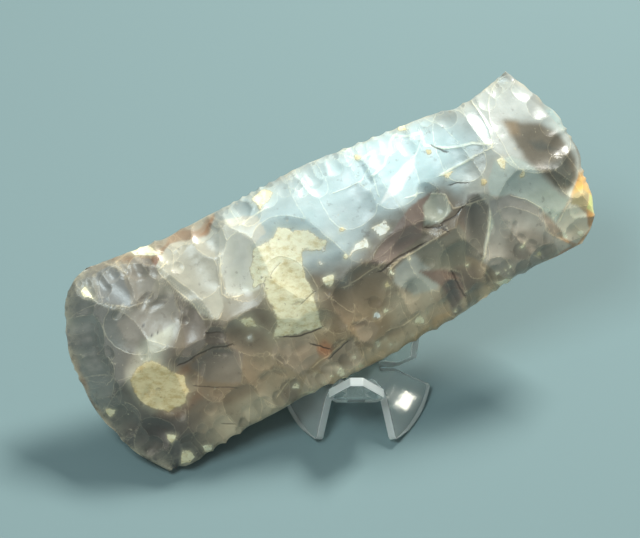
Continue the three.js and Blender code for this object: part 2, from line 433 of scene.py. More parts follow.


# Painted highlights along the ridges and steps of the front: the upper edge and its sheen, the butt, the
# middle, the cutting end.
FRONT_RIDGE_HIGHLIGHTS = (
    PaintedLightStroke(0.35, 0.9, ((16, 32), (20, 30), (25, 31), (35, 30))),
    PaintedLightStroke(0.4, 0.9, ((20, 28), (22, 26), (26, 26))),
    PaintedLightStroke(0.45, 1, ((23, 20), (28, 21), (32, 24), (33, 26), (35, 27), (39, 25), (43, 24))),
    PaintedLightStroke(0.5, 1, ((43, 24), (42, 20), (48, 16), (55, 14), (60, 11))),
    PaintedLightStroke(0.3, 0.9, ((42, 22), (38, 19))),
    PaintedLightStroke(0.45, 1, ((42, 10), (49, 10), (54, 10))),
    PaintedLightStroke(0.22, 0.8, ((10, 21), (20, 20), (24, 23))),
    PaintedLightStroke(0.25, 0.8, ((23, 20), (22, 14))),
    PaintedLightStroke(0.22, 0.8, ((28, 12), (31, 15), (35, 17))),
    PaintedLightStroke(0.3, 0.9, ((29, 9), (34, 8))),
    PaintedLightStroke(0.22, 0.9, ((62, 25), (62, 15), (60, 10), (55, 10))),
    PaintedLightStroke(0.22, 0.8, ((74, -17), (68, -21))),
    PaintedLightStroke(0.2, 0.7, ((58, -6), (62, -10), (65, -15), (63, -21), (65, -25), (69, -30))),
    PaintedLightStroke(0.3, 0.8, ((50, -7), (48, -11), (43, -18), (40, -21), (41, -31))),
    PaintedLightStroke(0.3, 1, ((37, 6), (40, 4), (40, -1), (44, -2), (50, -3))),
    PaintedLightStroke(0.3, 1, ((35, -6), (25, -7), (19, -7), (14, -8))),
    PaintedLightStroke(0.25, 0.8, ((14, -5), (4, -6), (-1, -6))),
    PaintedLightStroke(0.22, 0.7, ((31, -17), (33, -20), (32, -27))),
    PaintedLightStroke(0.25, 0.8, ((5, -25), (10, -26), (16, -25))),
    PaintedLightStroke(0.2, 0.7, ((-7, -5), (-5, -10), (-2, -15))),
    PaintedLightStroke(0.2, 0.6, ((-5, -18), (1, -18))),
    PaintedLightStroke(0.3, 0.9, ((-7, -21), (-15, -23), (-21, -24))),
    PaintedLightStroke(0.22, 0.7, ((-5, -26), (-6, -32), (-12, -31))),
    PaintedLightStroke(0.22, 0.7, ((-11, -12), (-15, -14))),
    PaintedLightStroke(0.22, 0.7, ((-31, -13), (-29, -18))),
    PaintedLightStroke(0.25, 0.8, ((-28, -24), (-32, -25), (-35, -27))),
    PaintedLightStroke(0.3, 0.7, ((-28, -30), (-19, -32))),
    PaintedLightStroke(0.25, 0.9, ((-10, 27), (-20, 26))),
    PaintedLightStroke(0.25, 0.9, ((-30, 21), (-35, 10), (-34, 8), (-30, 7))),
    PaintedLightStroke(0.25, 0.9, ((-45, 27), (-49, 26), (-47, 18), (-44, 11), (-44, 6), (-40, 4), (-38, 5))),
    PaintedLightStroke(0.2, 0.5, ((-48, 17), (-49, 11))),
    PaintedLightStroke(0.3, 0.8, ((-59, 34), (-54, 35), (-51, 33), (-45, 30))),
    PaintedLightStroke(0.2, 0.8, ((-59, 34), (-58, 30))),
    PaintedLightStroke(0.2, 0.8, ((-70, 26), (-62, 20), (-57, 19), (-54, 20))),
    PaintedLightStroke(0.2, 0.6, ((-85, 7), (-78, 5))),
)
# Painted shade beside the steps of the front, from the middle outwards.
FRONT_STEP_SHADES = (
    PaintedLightStroke(0.28, 0.9, ((-26, -10), (-20, -13), (-13, -14))),
    PaintedLightStroke(0.25, 0.9, ((-18, -17), (-14, -21))),
    PaintedLightStroke(0.22, 0.8, ((-8, -22), (-15, -24))),
    PaintedLightStroke(0.22, 0.8, ((-15, -4), (-10, -3))),
    PaintedLightStroke(0.2, 0.7, ((-19, 8), (-15, 10))),
    PaintedLightStroke(0.22, 0.8, ((-29, -32), (-19, -32))),
    PaintedLightStroke(0.25, 0.6, ((-45, 2), (-41, 0))),
    PaintedLightStroke(0.28, 0.8, ((-40, -5), (-46, -3), (-57, -3))),
    PaintedLightStroke(0.22, 0.5, ((-56, -11), (-45, -18))),
    PaintedLightStroke(0.22, 0.5, ((-54, -26), (-51, -28))),
    PaintedLightStroke(0.35, 0.9, ((11, -7), (19, -6), (27, -6))),
    PaintedLightStroke(0.3, 0.9, ((30, -2), (34, -4), (35, -6))),
    PaintedLightStroke(0.35, 0.9, ((35, -3), (40, -3), (43, -2))),
    PaintedLightStroke(0.25, 0.7, ((43, 6), (48, 4))),
    PaintedLightStroke(0.3, 0.7, ((44, 19), (47, 15))),
    PaintedLightStroke(0.3, 0.6, ((31, -18), (31, -27))),
)


@dataclass
class LineField:
    """The nearest of many thin lines: signed distance to it, so that it stays crisp between grid points."""

    offset: np.ndarray
    strength: np.ndarray

    @classmethod
    def blank(cls, shape: tuple[int, ...]) -> "LineField":
        """A field with no line in it.

        Args:
            shape: Shape of the grid.

        Returns:
            The field.
        """
        return cls(np.full(shape, 9.0), np.zeros(shape))

    def take(self, distance: np.ndarray, side: np.ndarray, strength: float) -> None:
        """Takes in one more line where it is nearer than those before.

        Args:
            distance: Distance in half widths.
            side: 1 or -1 on the two sides of the line.
            strength: Greatest share of the line.
        """
        nearer = distance < np.abs(self.offset)
        self.offset = np.where(nearer, np.maximum(distance, 1e-4) * side, self.offset)
        self.strength = np.where(nearer, strength * np.exp(-((distance / 3.5) ** 2)), self.strength)


@dataclass
class Relief:
    """What the shape of one face gives: heights, line fields of painted ridge highlights and painted step
    shades, and the tone of each scar, painted lighter or darker.
    """

    height: np.ndarray
    pale: LineField
    dark: LineField
    tone: np.ndarray


@dataclass(frozen=True)
class Scallops:
    """A run of cusped bites along one edge, of wandering length and depth.

    Args:
        depth: Greatest bite, mm.
        count: Number of bites.
        shift: Phase of their wander.
        span: Size of the axe away from this edge, mm.
        fade: Distance inwards over which they fade, mm.
    """

    depth: float
    count: int
    shift: float
    span: float
    fade: float

    def inward(self, t: np.ndarray, away: np.ndarray) -> np.ndarray:
        """Inward shift: the size of a sine whose phase wanders, swelling slowly, fading off the edge.

        Args:
            t: Parameter along the edge.
            away: Parameter away from the edge.

        Returns:
            Shift in mm.
        """
        wander = 1.1 * np.sin(9 * t + self.shift) + 0.6 * np.sin(23 * t + 2 * self.shift)
        arcs = np.abs(np.sin(math.pi * (self.count * t + wander))) ** 0.8
        swell = 0.55 + 0.45 * np.sin(31 * t + self.shift)
        return self.depth * arcs * swell * np.exp(-away * self.span / self.fade)


LOWER_SCALLOPS = Scallops(0.95, 27, 0.4, 66, 2.2)
UPPER_SCALLOPS = Scallops(0.75, 33, 1.9, 64, 2.0)
CUTTING_SCALLOPS = Scallops(0.7, 13, 0.8, 165, 2.5)
BUTT_SCALLOPS = Scallops(0.9, 10, 2.6, 165, 2.5)
CROSS_POWER = 2.3
CROSS_SHAPE = 0.82
TAPER_LENGTH = 160
CUTTING_TAPER = 17.0
BUTT_TAPER = 7.5
EDGE_CROWDING = 0.12
EDGE_WAVE = 0.7
EDGE_WAVE_COUNT = 9
EDGE_WAVE_POWER = 6
PALE_LIFT = 0.14
DARK_DROP = -0.25


@dataclass
class FlintShape:
    """Outline, section and scars of the axe head, in its own plan frame (u along, v across, mm)."""

    lower: np.ndarray = field(default_factory=lambda: np.array(
        [[-76, -31.6], [-66, -33.0], [-40, -31.6], [-12, -32.8], [18, -33.1], [46, -31.0], [72, -31.2]]))
    upper: np.ndarray = field(default_factory=lambda: np.array(
        [[-68, 36.6], [-50, 34.3], [-28, 32.9], [-5, 33.0], [20, 31.2], [48, 27.4], [62, 25.6], [76, 28.0]]))
    cutting: np.ndarray = field(default_factory=lambda: np.array(
        [[-76, -31.6], [-83.6, -18.5], [-87.0, -2], [-86.2, 13], [-81.6, 26], [-75.5, 34], [-68, 36.6]]))
    butt: np.ndarray = field(default_factory=lambda: np.array(
        [[72, -31.2], [79.8, -25.4], [82.9, -14], [84.9, -3], [84.2, 8], [80.4, 18.6], [76, 28.0]]))
    front_thick: float = 13.2
    back_thick: float = 11.8
    scar_limit: float = 0.42
    # Half width and strength of the painted highlight along the ridges of each scar generation.
    ridge_width: tuple[float, float, float] = (0.24, 0.22, 0.19)
    ridge_strength: tuple[float, float, float] = (0.42, 0.58, 0.32)
    cells_along: int = 350
    cells_across: int = 140

    def parameters(self) -> tuple[np.ndarray, np.ndarray]:
        """Patch parameters of the grid: a along the axe, b across it, closer set near the edges.

        Returns:
            Two arrays of (cells_along + 1, cells_across + 1).
        """
        a = np.linspace(0, 1, self.cells_along + 1)
        t = np.linspace(0, 1, self.cells_across + 1)
        spread = EDGE_CROWDING + (1 - 2 * EDGE_CROWDING) * t
        b = 0.5 - 0.5 * np.cos(math.pi * spread) / math.cos(EDGE_CROWDING * math.pi)
        return np.meshgrid(a, b, indexing="ij")

    def plan(self, a: np.ndarray, b: np.ndarray) -> np.ndarray:
        """Coons patch inside the four outline curves, with scallops bitten out of the rim.

        Args:
            a: Parameter from cutting end to butt.
            b: Parameter from lower edge to upper edge.

        Returns:
            Plan points, last axis (u, v), mm.
        """
        low, up = curve_points(self.lower, a), curve_points(self.upper, a)
        left, right = curve_points(self.cutting, b), curve_points(self.butt, b)
        a1, b1 = a[..., None], b[..., None]
        corners = (
            (1 - a1) * (1 - b1) * self.cutting[0]
            + a1 * (1 - b1) * self.butt[0]
            + (1 - a1) * b1 * self.cutting[-1]
            + a1 * b1 * self.butt[-1]
        )
        base = (1 - b1) * low + b1 * up + (1 - a1) * left + a1 * right - corners
        return base + self.scallops(a, b)

    @staticmethod
    def scallops(a: np.ndarray, b: np.ndarray) -> np.ndarray:
        """Inward bites along the rim: rows of cusped arcs of wandering length, fading inwards.

        Args:
            a: Parameter from cutting end to butt.
            b: Parameter from lower edge to upper edge.

        Returns:
            Plan shifts, last axis (u, v), mm.
        """
        low, high = LOWER_SCALLOPS.inward(a, b), UPPER_SCALLOPS.inward(a, 1 - b)
        left, right = CUTTING_SCALLOPS.inward(b, a), BUTT_SCALLOPS.inward(b, 1 - a)
        fade = np.minimum(1, 12 * np.minimum(a, 1 - a))
        fade_across = np.minimum(1, 8 * np.minimum(b, 1 - b))
        return np.stack([(left - right) * fade_across, (low - high) * fade], axis=-1)

    @staticmethod
    def body(a: np.ndarray, b: np.ndarray) -> np.ndarray:
        """Unscarred half thickness share: a lens across, tapering to the ends.

        Args:
            a: Parameter from cutting end to butt.
            b: Parameter from lower edge to upper edge.

        Returns:
            Share from 0 on the outline to 1.
        """
        across = (1 - np.abs(2 * b - 1) ** CROSS_POWER) ** CROSS_SHAPE
        cutting = 1 - np.exp(-a * TAPER_LENGTH / CUTTING_TAPER)
        return across * cutting * (1 - np.exp(-(1 - a) * TAPER_LENGTH / BUTT_TAPER))

    @staticmethod
    def levels(face: Face) -> tuple[list[Scar], list[Scar], list[Scar]]:
        """The scars of one face in three generations.

        Args:
            face: Which face.

        Returns:
            Main, medium and fine scars.
        """
        if face is Face.FRONT:
            fine = [scar for row in FRONT_ROWS for scar in row.scars()]
            ends = end_scars(-44.0, -38.5, 12, 31) + end_scars(44.0, 37.5, 9, 32)
            stray = chips(46, (-40, -30), (70, -12), 41) + chips(30, (-84, -28), (-42, 30), 42)
            stray = stray + chips(14, (-40, 26), (60, 31), 43)
            return list(FRONT_MAIN), list(FRONT_MEDIUM), fine + ends + stray
        medium = [scar for row in BACK_MEDIUM_ROWS for scar in row.scars()]
        fine = [scar for row in BACK_ROWS for scar in row.scars()]
        ends = end_scars(-44.0, -38.5, 12, 33) + end_scars(44.0, 37.5, 9, 34)
        return list(BACK_MAIN), medium, fine + ends

    @staticmethod
    def deepest(scars: list[Scar], u: np.ndarray, v: np.ndarray) -> tuple[np.ndarray, ...]:
        """Deepest bowl over each point, the way to the ridge beside it, and which scar it is.

        Args:
            scars: One generation of scars.
            u: Coordinate along, mm.
            v: Coordinate across, mm.

        Returns:
            Depth in mm, distance to the ridge in mm, side of the ridge, and the scar's number or -1.
        """
        first, second = np.zeros_like(u), np.full_like(u, -1.0)
        owner, rival = np.full(u.shape, -1), np.full(u.shape, -2)
        for number, scar in enumerate(scars):
            deep = scar.bowl(u, v)
            wins = deep > first
            rival = np.where(wins, owner, np.where(deep > second, number, rival))
            second = np.where(wins, first, np.maximum(second, deep))
            owner = np.where(wins, number, owner)
            first = np.maximum(first, deep)
        gap = first - second
        step_a = np.hypot(np.gradient(u, axis=0), np.gradient(v, axis=0))
        step_b = np.hypot(np.gradient(u, axis=1), np.gradient(v, axis=1))
        slope = np.hypot(np.gradient(gap, axis=0) / step_a, np.gradient(gap, axis=1) / step_b)
        return first, gap / np.maximum(slope, 0.15), np.where(owner > rival, 1.0, -1.0), owner

    def height(self, face: Face, a: np.ndarray, b: np.ndarray, plan: np.ndarray) -> Relief:
        """Height of one face over the middle plane, with its painted ridge highlights, painted step shades
        and scar tones.

        Args:
            face: Which face.
            a: Parameter from cutting end to butt.
            b: Parameter from lower edge to upper edge.
            plan: Plan points, mm.

        Returns:
            The relief.
        """
        thick = self.front_thick if face is Face.FRONT else self.back_thick
        u, v = plan[..., 0], plan[..., 1]
        warp_u = u + 0.5 * fractal(u, v, 9.0, 71 + face.value)
        warp_v = v + 0.5 * fractal(u, v, 9.0, 81 + face.value)
        body = thick * self.body(a, b)
        away_from_rim = smooth_step(body, 0.2, 1.5)
        pale, dark = LineField.blank(u.shape), LineField.blank(u.shape)
        cuts, owners = [], []
        # Each scar generation draws a painted highlight along the ridges between its scars.
        for scars, width, strength in zip(self.levels(face), self.ridge_width, self.ridge_strength):
            cut, distance, side, owner = self.deepest(scars, warp_u, warp_v)
            pale.take(distance / width, side, strength)
            cuts.append(cut)
            owners.append(owner)
        room = np.maximum(self.scar_limit * body, 1e-9)
        share = 0.42 * body / (0.42 * body + 1.2)
        cut = room * np.tanh(cuts[0] / room) + share * (1.15 * cuts[1] + 1.3 * cuts[2])
        fine = 0.03 * fractal(u, v, 2.4, 91, 3) * away_from_rim
        if face is Face.FRONT:
            line_u, line_v = u + 0.35 * fractal(u, v, 3.0, 95, 3), v + 0.35 * fractal(u, v, 3.0, 98, 3)
            # Painted highlights along the ridge strokes and painted shade beside the step strokes; both also
            # lift or sink the height a little.
            for lines, strokes, lift in ((pale, FRONT_RIDGE_HIGHLIGHTS, PALE_LIFT), (dark, FRONT_STEP_SHADES, DARK_DROP)):
                for stroke in strokes:
                    distance, side = stroke.offset(line_u, line_v)
                    lines.take(distance, side, stroke.strength)
                    fine = fine + lift * stroke.strength * np.exp(-((distance / 1.6) ** 2))
        # Painted light and shade on the facets: each scar of the two later generations gets a random
        # brightness, standing in for the different light each facet catches.
        tone = np.ones_like(u)
        for seed, owner, reach in ((61, owners[1], 0.14), (63, owners[2], 0.24)):
            pick = np.random.default_rng(seed + face.value).uniform(1 - reach, 1 + reach, owner.max() + 1)
            tone = tone * np.where(owner < 0, 1.0, pick[owner])
        pale.strength = pale.strength * away_from_rim
        return Relief(body - cut + fine, pale, dark, tone)

    @staticmethod
    def edge_wave(a: np.ndarray, b: np.ndarray) -> np.ndarray:
        """Wander of the rim off the middle plane.

        Args:
            a: Parameter from cutting end to butt.
            b: Parameter from lower edge to upper edge.

        Returns:
            Height in mm.
        """
        wave = np.sin(2 * math.pi * EDGE_WAVE_COUNT * a + 2 * b)
        return EDGE_WAVE * np.abs(2 * b - 1) ** EDGE_WAVE_POWER * wave


# ---------------------------------------------------------------- flint: colour


@dataclass(frozen=True)
class Zone:
    """A soft-edged patch of colour or crust in the axe's plan.

    Args:
        u: Centre along, mm.
        v: Centre across, mm.
        reach_u: Half size along, mm.
        reach_v: Half size across, mm.
        turn: Turn of the patch, degrees.
        colour: Linear colour.
        strength: Greatest share.
    """

    u: float
    v: float
    reach_u: float
    reach_v: float
    turn: float
    colour: tuple[float, float, float]
    strength: float

    def share(self, u: np.ndarray, v: np.ndarray, edge: float) -> np.ndarray:
        """Share of the patch at plan points.

        Args:
            u: Coordinate along, mm.
            v: Coordinate across, mm.
            edge: Softness of the rim, as a share of the size.

        Returns:
            Share from 0 to strength.
        """
        c, s = math.cos(math.radians(self.turn)), math.sin(math.radians(self.turn))
        p = ((u - self.u) * c + (v - self.v) * s) / self.reach_u
        q = (-(u - self.u) * s + (v - self.v) * c) / self.reach_v
        return self.strength * (1 - smooth_step(np.hypot(p, q), 1 - edge, 1 + edge))


@dataclass(frozen=True)
class Patch:
    """A patch of colour or crust inside a straight-sided outline.

    Args:
        colour: Linear colour.
        strength: Greatest share.
        soft: Half width of its border, mm.
        points: Corner points in plan, mm.
    """

    colour: tuple[float, float, float]
    strength: float
    soft: float
    points: tuple[tuple[float, float], ...]

    def share(self, u: np.ndarray, v: np.ndarray) -> np.ndarray:
        """Share of the patch at plan points, from the distance to its outline.

        Args:
            u: Coordinate along, mm.
            v: Coordinate across, mm.

        Returns:
            Share from 0 to strength.
        """
        nearest, within = np.full_like(u, 1e9), np.zeros(u.shape, dtype=bool)
        for (u0, v0), (u1, v1) in zip(self.points, self.points[1:] + self.points[:1]):
            du, dv = u1 - u0, v1 - v0
            t = np.clip(((u - u0) * du + (v - v0) * dv) / (du * du + dv * dv), 0, 1)
            nearest = np.minimum(nearest, np.hypot(u - u0 - t * du, v - v0 - t * dv))
            if dv:
                within ^= ((v0 > v) != (v1 > v)) & (u < u0 + du * (v - v0) / dv)
        return self.strength * smooth_step(np.where(within, nearest, -nearest), -self.soft, self.soft)


BASE_TINT = (0.205, 0.165, 0.115)
FRONT_TINTS = (
    Zone(-76, 0, 20, 36, 0, (0.125, 0.125, 0.105), 0.9),
    Zone(-72, 26, 14, 9, -20, (0.19, 0.20, 0.18), 0.8),
    Zone(-80, 8, 8, 12, 0, (0.15, 0.17, 0.155), 0.7),
    Zone(-58, 12, 12, 14, 0, (0.24, 0.21, 0.165), 0.8),
    Zone(-48, 27, 16, 8, 0, (0.40, 0.35, 0.27), 0.8),
    Zone(-30, 20, 18, 15, -15, (0.48, 0.45, 0.36), 0.9),
    # The next three zones paint the bluish-white sheen of the upper middle: partly a pale bluish patina,
    # partly a painted reflection of the overhead light.
    Zone(18, 23, 42, 12, -4, (0.50, 0.62, 0.62), 0.9),
    Zone(34, 14, 30, 11, -8, (0.56, 0.72, 0.73), 0.9),
    Zone(10, 9, 20, 9, 8, (0.50, 0.60, 0.60), 0.8),
    Zone(73, 12, 15, 22, 10, (0.42, 0.45, 0.42), 0.85),
    Zone(82, 12, 4, 16, -8, (0.42, 0.56, 0.54), 0.8),
    Zone(72, 3, 5, 14, 12, (0.19, 0.15, 0.11), 0.85),
    Zone(65, 14, 9, 4, -60, (0.30, 0.22, 0.16), 0.6),
    Zone(55, 4, 9, 9, 0, (0.50, 0.48, 0.40), 0.7),
    Zone(58, -17, 14, 12, 20, (0.26, 0.235, 0.205), 0.9),
    Zone(76, -14, 7, 9, 0, (0.42, 0.40, 0.33), 0.7),
    Zone(28, -6, 22, 9, 25, (0.16, 0.135, 0.10), 0.85),
    Zone(46, -11, 4, 10, 15, (0.15, 0.13, 0.11), 0.85),
    Zone(25, -17, 12, 8, 0, (0.30, 0.28, 0.225), 0.7),
    Zone(34, -26, 6, 7, 0, (0.10, 0.09, 0.08), 0.85),
    Zone(-12, -20, 26, 9, 5, (0.185, 0.145, 0.095), 0.8),
    Zone(-38, -16, 14, 12, 0, (0.21, 0.175, 0.125), 0.7),
    Zone(-50, -14, 8, 10, 0, (0.17, 0.125, 0.085), 0.6),
    Zone(-73, -24, 15, 10, 10, (0.075, 0.070, 0.062), 0.9),
    Zone(-17, -19, 3, 2.5, 0, (0.26, 0.10, 0.05), 0.6),
    Zone(-36, 33.2, 22, 1.4, 0, (0.30, 0.17, 0.09), 0.6),
    Zone(-58, 35.2, 9, 1.3, 5, (0.28, 0.16, 0.08), 0.7),
    Zone(-48, 31.5, 3, 1.5, 10, (0.24, 0.11, 0.06), 0.8),
    Zone(-30, 31.8, 4, 1.0, 5, (0.30, 0.15, 0.07), 0.7),
    Zone(-86, 0, 2.6, 22, 0, (0.22, 0.13, 0.07), 0.7),
    Zone(82, -17, 4, 5, 0, (0.60, 0.34, 0.10), 0.9),
    Zone(73, -30, 7, 3, 0, (0.34, 0.18, 0.08), 0.8),
    Zone(79, -24, 3, 4, 0, (0.60, 0.42, 0.20), 0.7),
    Zone(5, -33, 60, 1.6, 0, (0.30, 0.21, 0.11), 0.6),
    Zone(-50, -6, 10, 9, 0, (0.22, 0.17, 0.115), 0.6),
    Zone(14, -29.5, 46, 2.6, 2, (0.34, 0.29, 0.20), 0.5),
    Zone(-62, -14, 4, 4, 0, (0.20, 0.10, 0.055), 0.6),
    Zone(-58, -6, 4, 2, 20, (0.26, 0.13, 0.07), 0.6),
    Zone(-62, 7, 6, 4, 30, (0.58, 0.50, 0.35), 0.6),
    Zone(-62, 1.8, 4, 1.6, 30, (0.70, 0.45, 0.26), 0.7),
    # Painted sheen near the middle of the upper half: partly pale patina, partly a painted reflection of the
    # overhead light.
    Zone(2, 9, 8, 5, 0, (0.62, 0.70, 0.68), 0.7),
    Zone(16, -23, 7, 6, 0, (0.34, 0.32, 0.25), 0.6),
    Zone(-46, -27, 12, 5, 0, (0.32, 0.29, 0.22), 0.7),
    Zone(-59, 9, 5, 5, 30, (0.52, 0.53, 0.43), 0.6),
    Zone(-66, 4, 4, 3, 20, (0.46, 0.42, 0.33), 0.6),
)
CREAM = (1.0, 0.96, 0.70)
STRAW = (0.84, 0.79, 0.53)
TAN = (0.80, 0.67, 0.38)
PALE = (0.86, 0.88, 0.80)
# Facets of the front: the butt, the lower right, the middle, the lower left, the cutting end.
FRONT_FACETS = (
    Patch((0.48, 0.51, 0.47), 0.8, 0.3, (
        (62, 25), (68, 26), (74, 28), (80, 14), (84, 0), (83, -7), (79, -12), (74, -16), (71, -10),
        (68, 0), (64, 5), (60, 8), (62, 14))),
    Patch((0.43, 0.50, 0.45), 0.85, 0.6, (
        (52, -3), (54, 2), (58, 6), (64, 5), (68, 0), (71, -10), (74, -16), (67, -21), (65, -15), (62, -10),
        (58, -6))),
    Patch((0.15, 0.13, 0.095), 0.95, 1.4, (
        (68, 15), (77, 9), (81, 3), (82, -6), (79, -12), (74, -14), (71, -9), (67, 2), (67, 9))),
    Patch((0.30, 0.22, 0.13), 0.6, 1.2, ((67, 15), (71, 13), (70, 9), (67, 10))),
    Patch((0.09, 0.095, 0.08), 0.9, 1.2, ((72, -3), (79, -4), (79, -10), (75, -13), (72, -10))),
    Patch((0.10, 0.105, 0.09), 0.8, 1, ((71, 6), (75, 4), (78, -1), (72, 2))),
    Patch((0.29, 0.285, 0.26), 0.9, 0.25, (
        (51, -4), (58, -6), (62, -10), (65, -15), (63, -21), (65, -25), (69, -30), (56, -32), (47, -33),
        (41, -20), (48, -10))),
    Patch((0.15, 0.135, 0.115), 0.7, 1.8, (
        (51, -15), (60, -19), (64, -26), (64, -30), (48, -32), (46, -27))),
    Patch((0.17, 0.16, 0.135), 0.95, 0.25, (
        (46, 1), (49, 0), (50, -6), (47, -11), (41, -20), (36, -15), (42, -5))),
    Patch((0.45, 0.47, 0.40), 0.85, 0.4, ((50, -6), (49, -11), (41, -20), (47, -11))),
    Patch((0.50, 0.50, 0.43), 0.85, 0.3, ((74, -17), (67, -21), (67, -26), (71, -31), (76, -28), (77, -23))),
    Patch((0.34, 0.30, 0.18), 0.9, 0.3, ((76, -15), (80, -16), (81, -19), (78, -22), (74, -18))),
    Patch((0.85, 0.56, 0.22), 0.95, 0.4, ((81, -18), (82, -21), (80, -25), (78, -22))),
    Patch((0.36, 0.20, 0.07), 0.9, 0.4, ((78, -22), (80, -25), (77, -27))),
    Patch((0.24, 0.14, 0.09), 0.85, 0.5, ((55, -31), (66, -30), (72, -31), (66, -33), (55, -33))),
    # Near-white wedge within the sheen: partly pale patina, partly a painted reflection of the overhead
    # light.
    Patch((0.85, 0.88, 0.84), 0.9, 0.35, ((38, 19), (36, 16), (29, 12), (21, 11), (28, 16), (33, 18))),
    Patch((0.215, 0.165, 0.135), 0.95, 0.35, (
        (18, 1), (28, 6), (37, 7), (30, 0), (27, -4), (15, -6), (9, -3))),
    Patch((0.40, 0.42, 0.34), 0.9, 0.3, ((37, 7), (40, 4), (39, -1), (35, -3), (30, -1), (32, 4))),
    Patch((0.175, 0.17, 0.135), 0.9, 0.3, ((35, -7), (39, -6), (40, -10), (36, -18), (25, -15), (23, -7))),
    Patch((0.27, 0.30, 0.28), 0.85, 0.8, (
        (16, -8), (23, -8), (24, -12), (27, -19), (24, -21), (17, -19), (13, -12))),
    Patch((0.16, 0.115, 0.095), 0.9, 0.5, ((22, -13), (31, -18), (32, -27), (28, -28), (26, -22))),
    Patch((0.09, 0.085, 0.08), 0.85, 0.8, ((27, -20), (30, -20), (30, -27), (28, -32), (25, -31))),
    Patch((0.20, 0.165, 0.125), 0.8, 0.3, ((-4, -18), (1, -18), (3, -23), (-1, -26), (-5, -24))),
    Patch((0.21, 0.18, 0.14), 0.9, 0.3, (
        (-6, -21), (-6, -30), (-12, -32), (-18, -29), (-20, -25), (-14, -23))),
    Patch((0.42, 0.38, 0.30), 0.6, 1.2, ((-18, -26), (-7, -30), (-8, -32), (-13, -32))),
    Patch((0.23, 0.19, 0.145), 0.9, 0.3, ((-28, -11), (-16, -14), (-18, -22), (-25, -25), (-31, -15))),
    Patch((0.27, 0.235, 0.18), 0.8, 0.3, ((-24, -25), (-18, -28), (-18, -31), (-29, -30))),
    Patch((0.155, 0.13, 0.10), 0.85, 0.4, ((-27, -24), (-34, -27), (-34, -31), (-30, -31))),
    Patch((0.52, 0.49, 0.39), 0.95, 0.25, (
        (-49, 27), (-47, 18), (-44, 8), (-40, 4), (-37, 6), (-33, 17), (-30, 24), (-34, 29), (-42, 31))),
    Patch((0.60, 0.59, 0.50), 0.95, 0.25, (
        (-26, 30), (-31, 18), (-34, 10), (-31, 7), (-24, 6), (-20, 19), (-14, 20), (-14, 26), (-21, 29))),
    Patch((0.29, 0.26, 0.215), 0.9, 0.25, ((-58, 30), (-53, 33), (-49, 30), (-49, 25), (-56, 19), (-61, 20))),
    Patch((0.225, 0.23, 0.22), 0.9, 0.3, ((-66, 34), (-61, 34), (-59, 30), (-61, 20), (-70, 26))),
    Patch((0.28, 0.25, 0.205), 0.9, 0.4, (
        (-68, 18), (-60, 18), (-53, 20), (-48, 17), (-50, 9), (-62, 9), (-68, 12))),
    Patch((0.24, 0.20, 0.16), 0.9, 0.25, (
        (-48, 18), (-44, 8), (-45, 0), (-53, -4), (-58, -3), (-53, 1), (-50, 8))),
    Patch((0.185, 0.15, 0.115), 0.9, 0.3, ((-44, 5), (-40, 3), (-40, -5), (-47, -2))),
    Patch((0.18, 0.155, 0.125), 0.85, 0.4, (
        (-40, -6), (-46, -3), (-54, -5), (-52, -12), (-43, -17), (-38, -9))),
)


FLECK_SHARES = (1.0, 0.7, 0.9, 0.8, 1.0, 0.6)
FLECK_SOFT = 0.3


def fleck(
    colour: tuple[float, float, float], u: float, v: float, reach: float, strength: float = 0.9
) -> Patch:
    """A small uneven six-cornered patch.

    Args:
        colour: Linear colour.
        u: Middle along, mm.
        v: Middle across, mm.
        reach: Greatest distance from the middle to a corner, mm.
        strength: Greatest share.

    Returns:
        The patch, turned by its place so that no two lie alike.
    """
    start = 50.0 * u + 70.0 * v
    turns = [math.radians(start + 60.0 * step) for step in range(len(FLECK_SHARES))]
    return Patch(colour, strength, FLECK_SOFT, tuple(
        (u + reach * share * math.cos(turn), v + reach * share * math.sin(turn))
        for share, turn in zip(FLECK_SHARES, turns)
    ))


# Start and extent of the strip that the flakes lie in.
FLAKES_U = (-30, 78)
FLAKES_V = (-32, 6.5)


def edge_flakes(count: int, seed: int) -> tuple[Patch, ...]:
    """Thin cream flakes strewn along the lower edge.

    Args:
        count: Number of flakes.
        seed: Seed of the places.

    Returns:
        The flakes.
    """
    draws = np.random.default_rng(seed).uniform(0, 1, (count, 3)).tolist()
    return tuple(
        fleck(CREAM, FLAKES_U[0] + FLAKES_U[1] * a, FLAKES_V[0] + FLAKES_V[1] * b, 0.5 + 1.6 * c**3, 0.65)
        for a, b, c in draws
    )


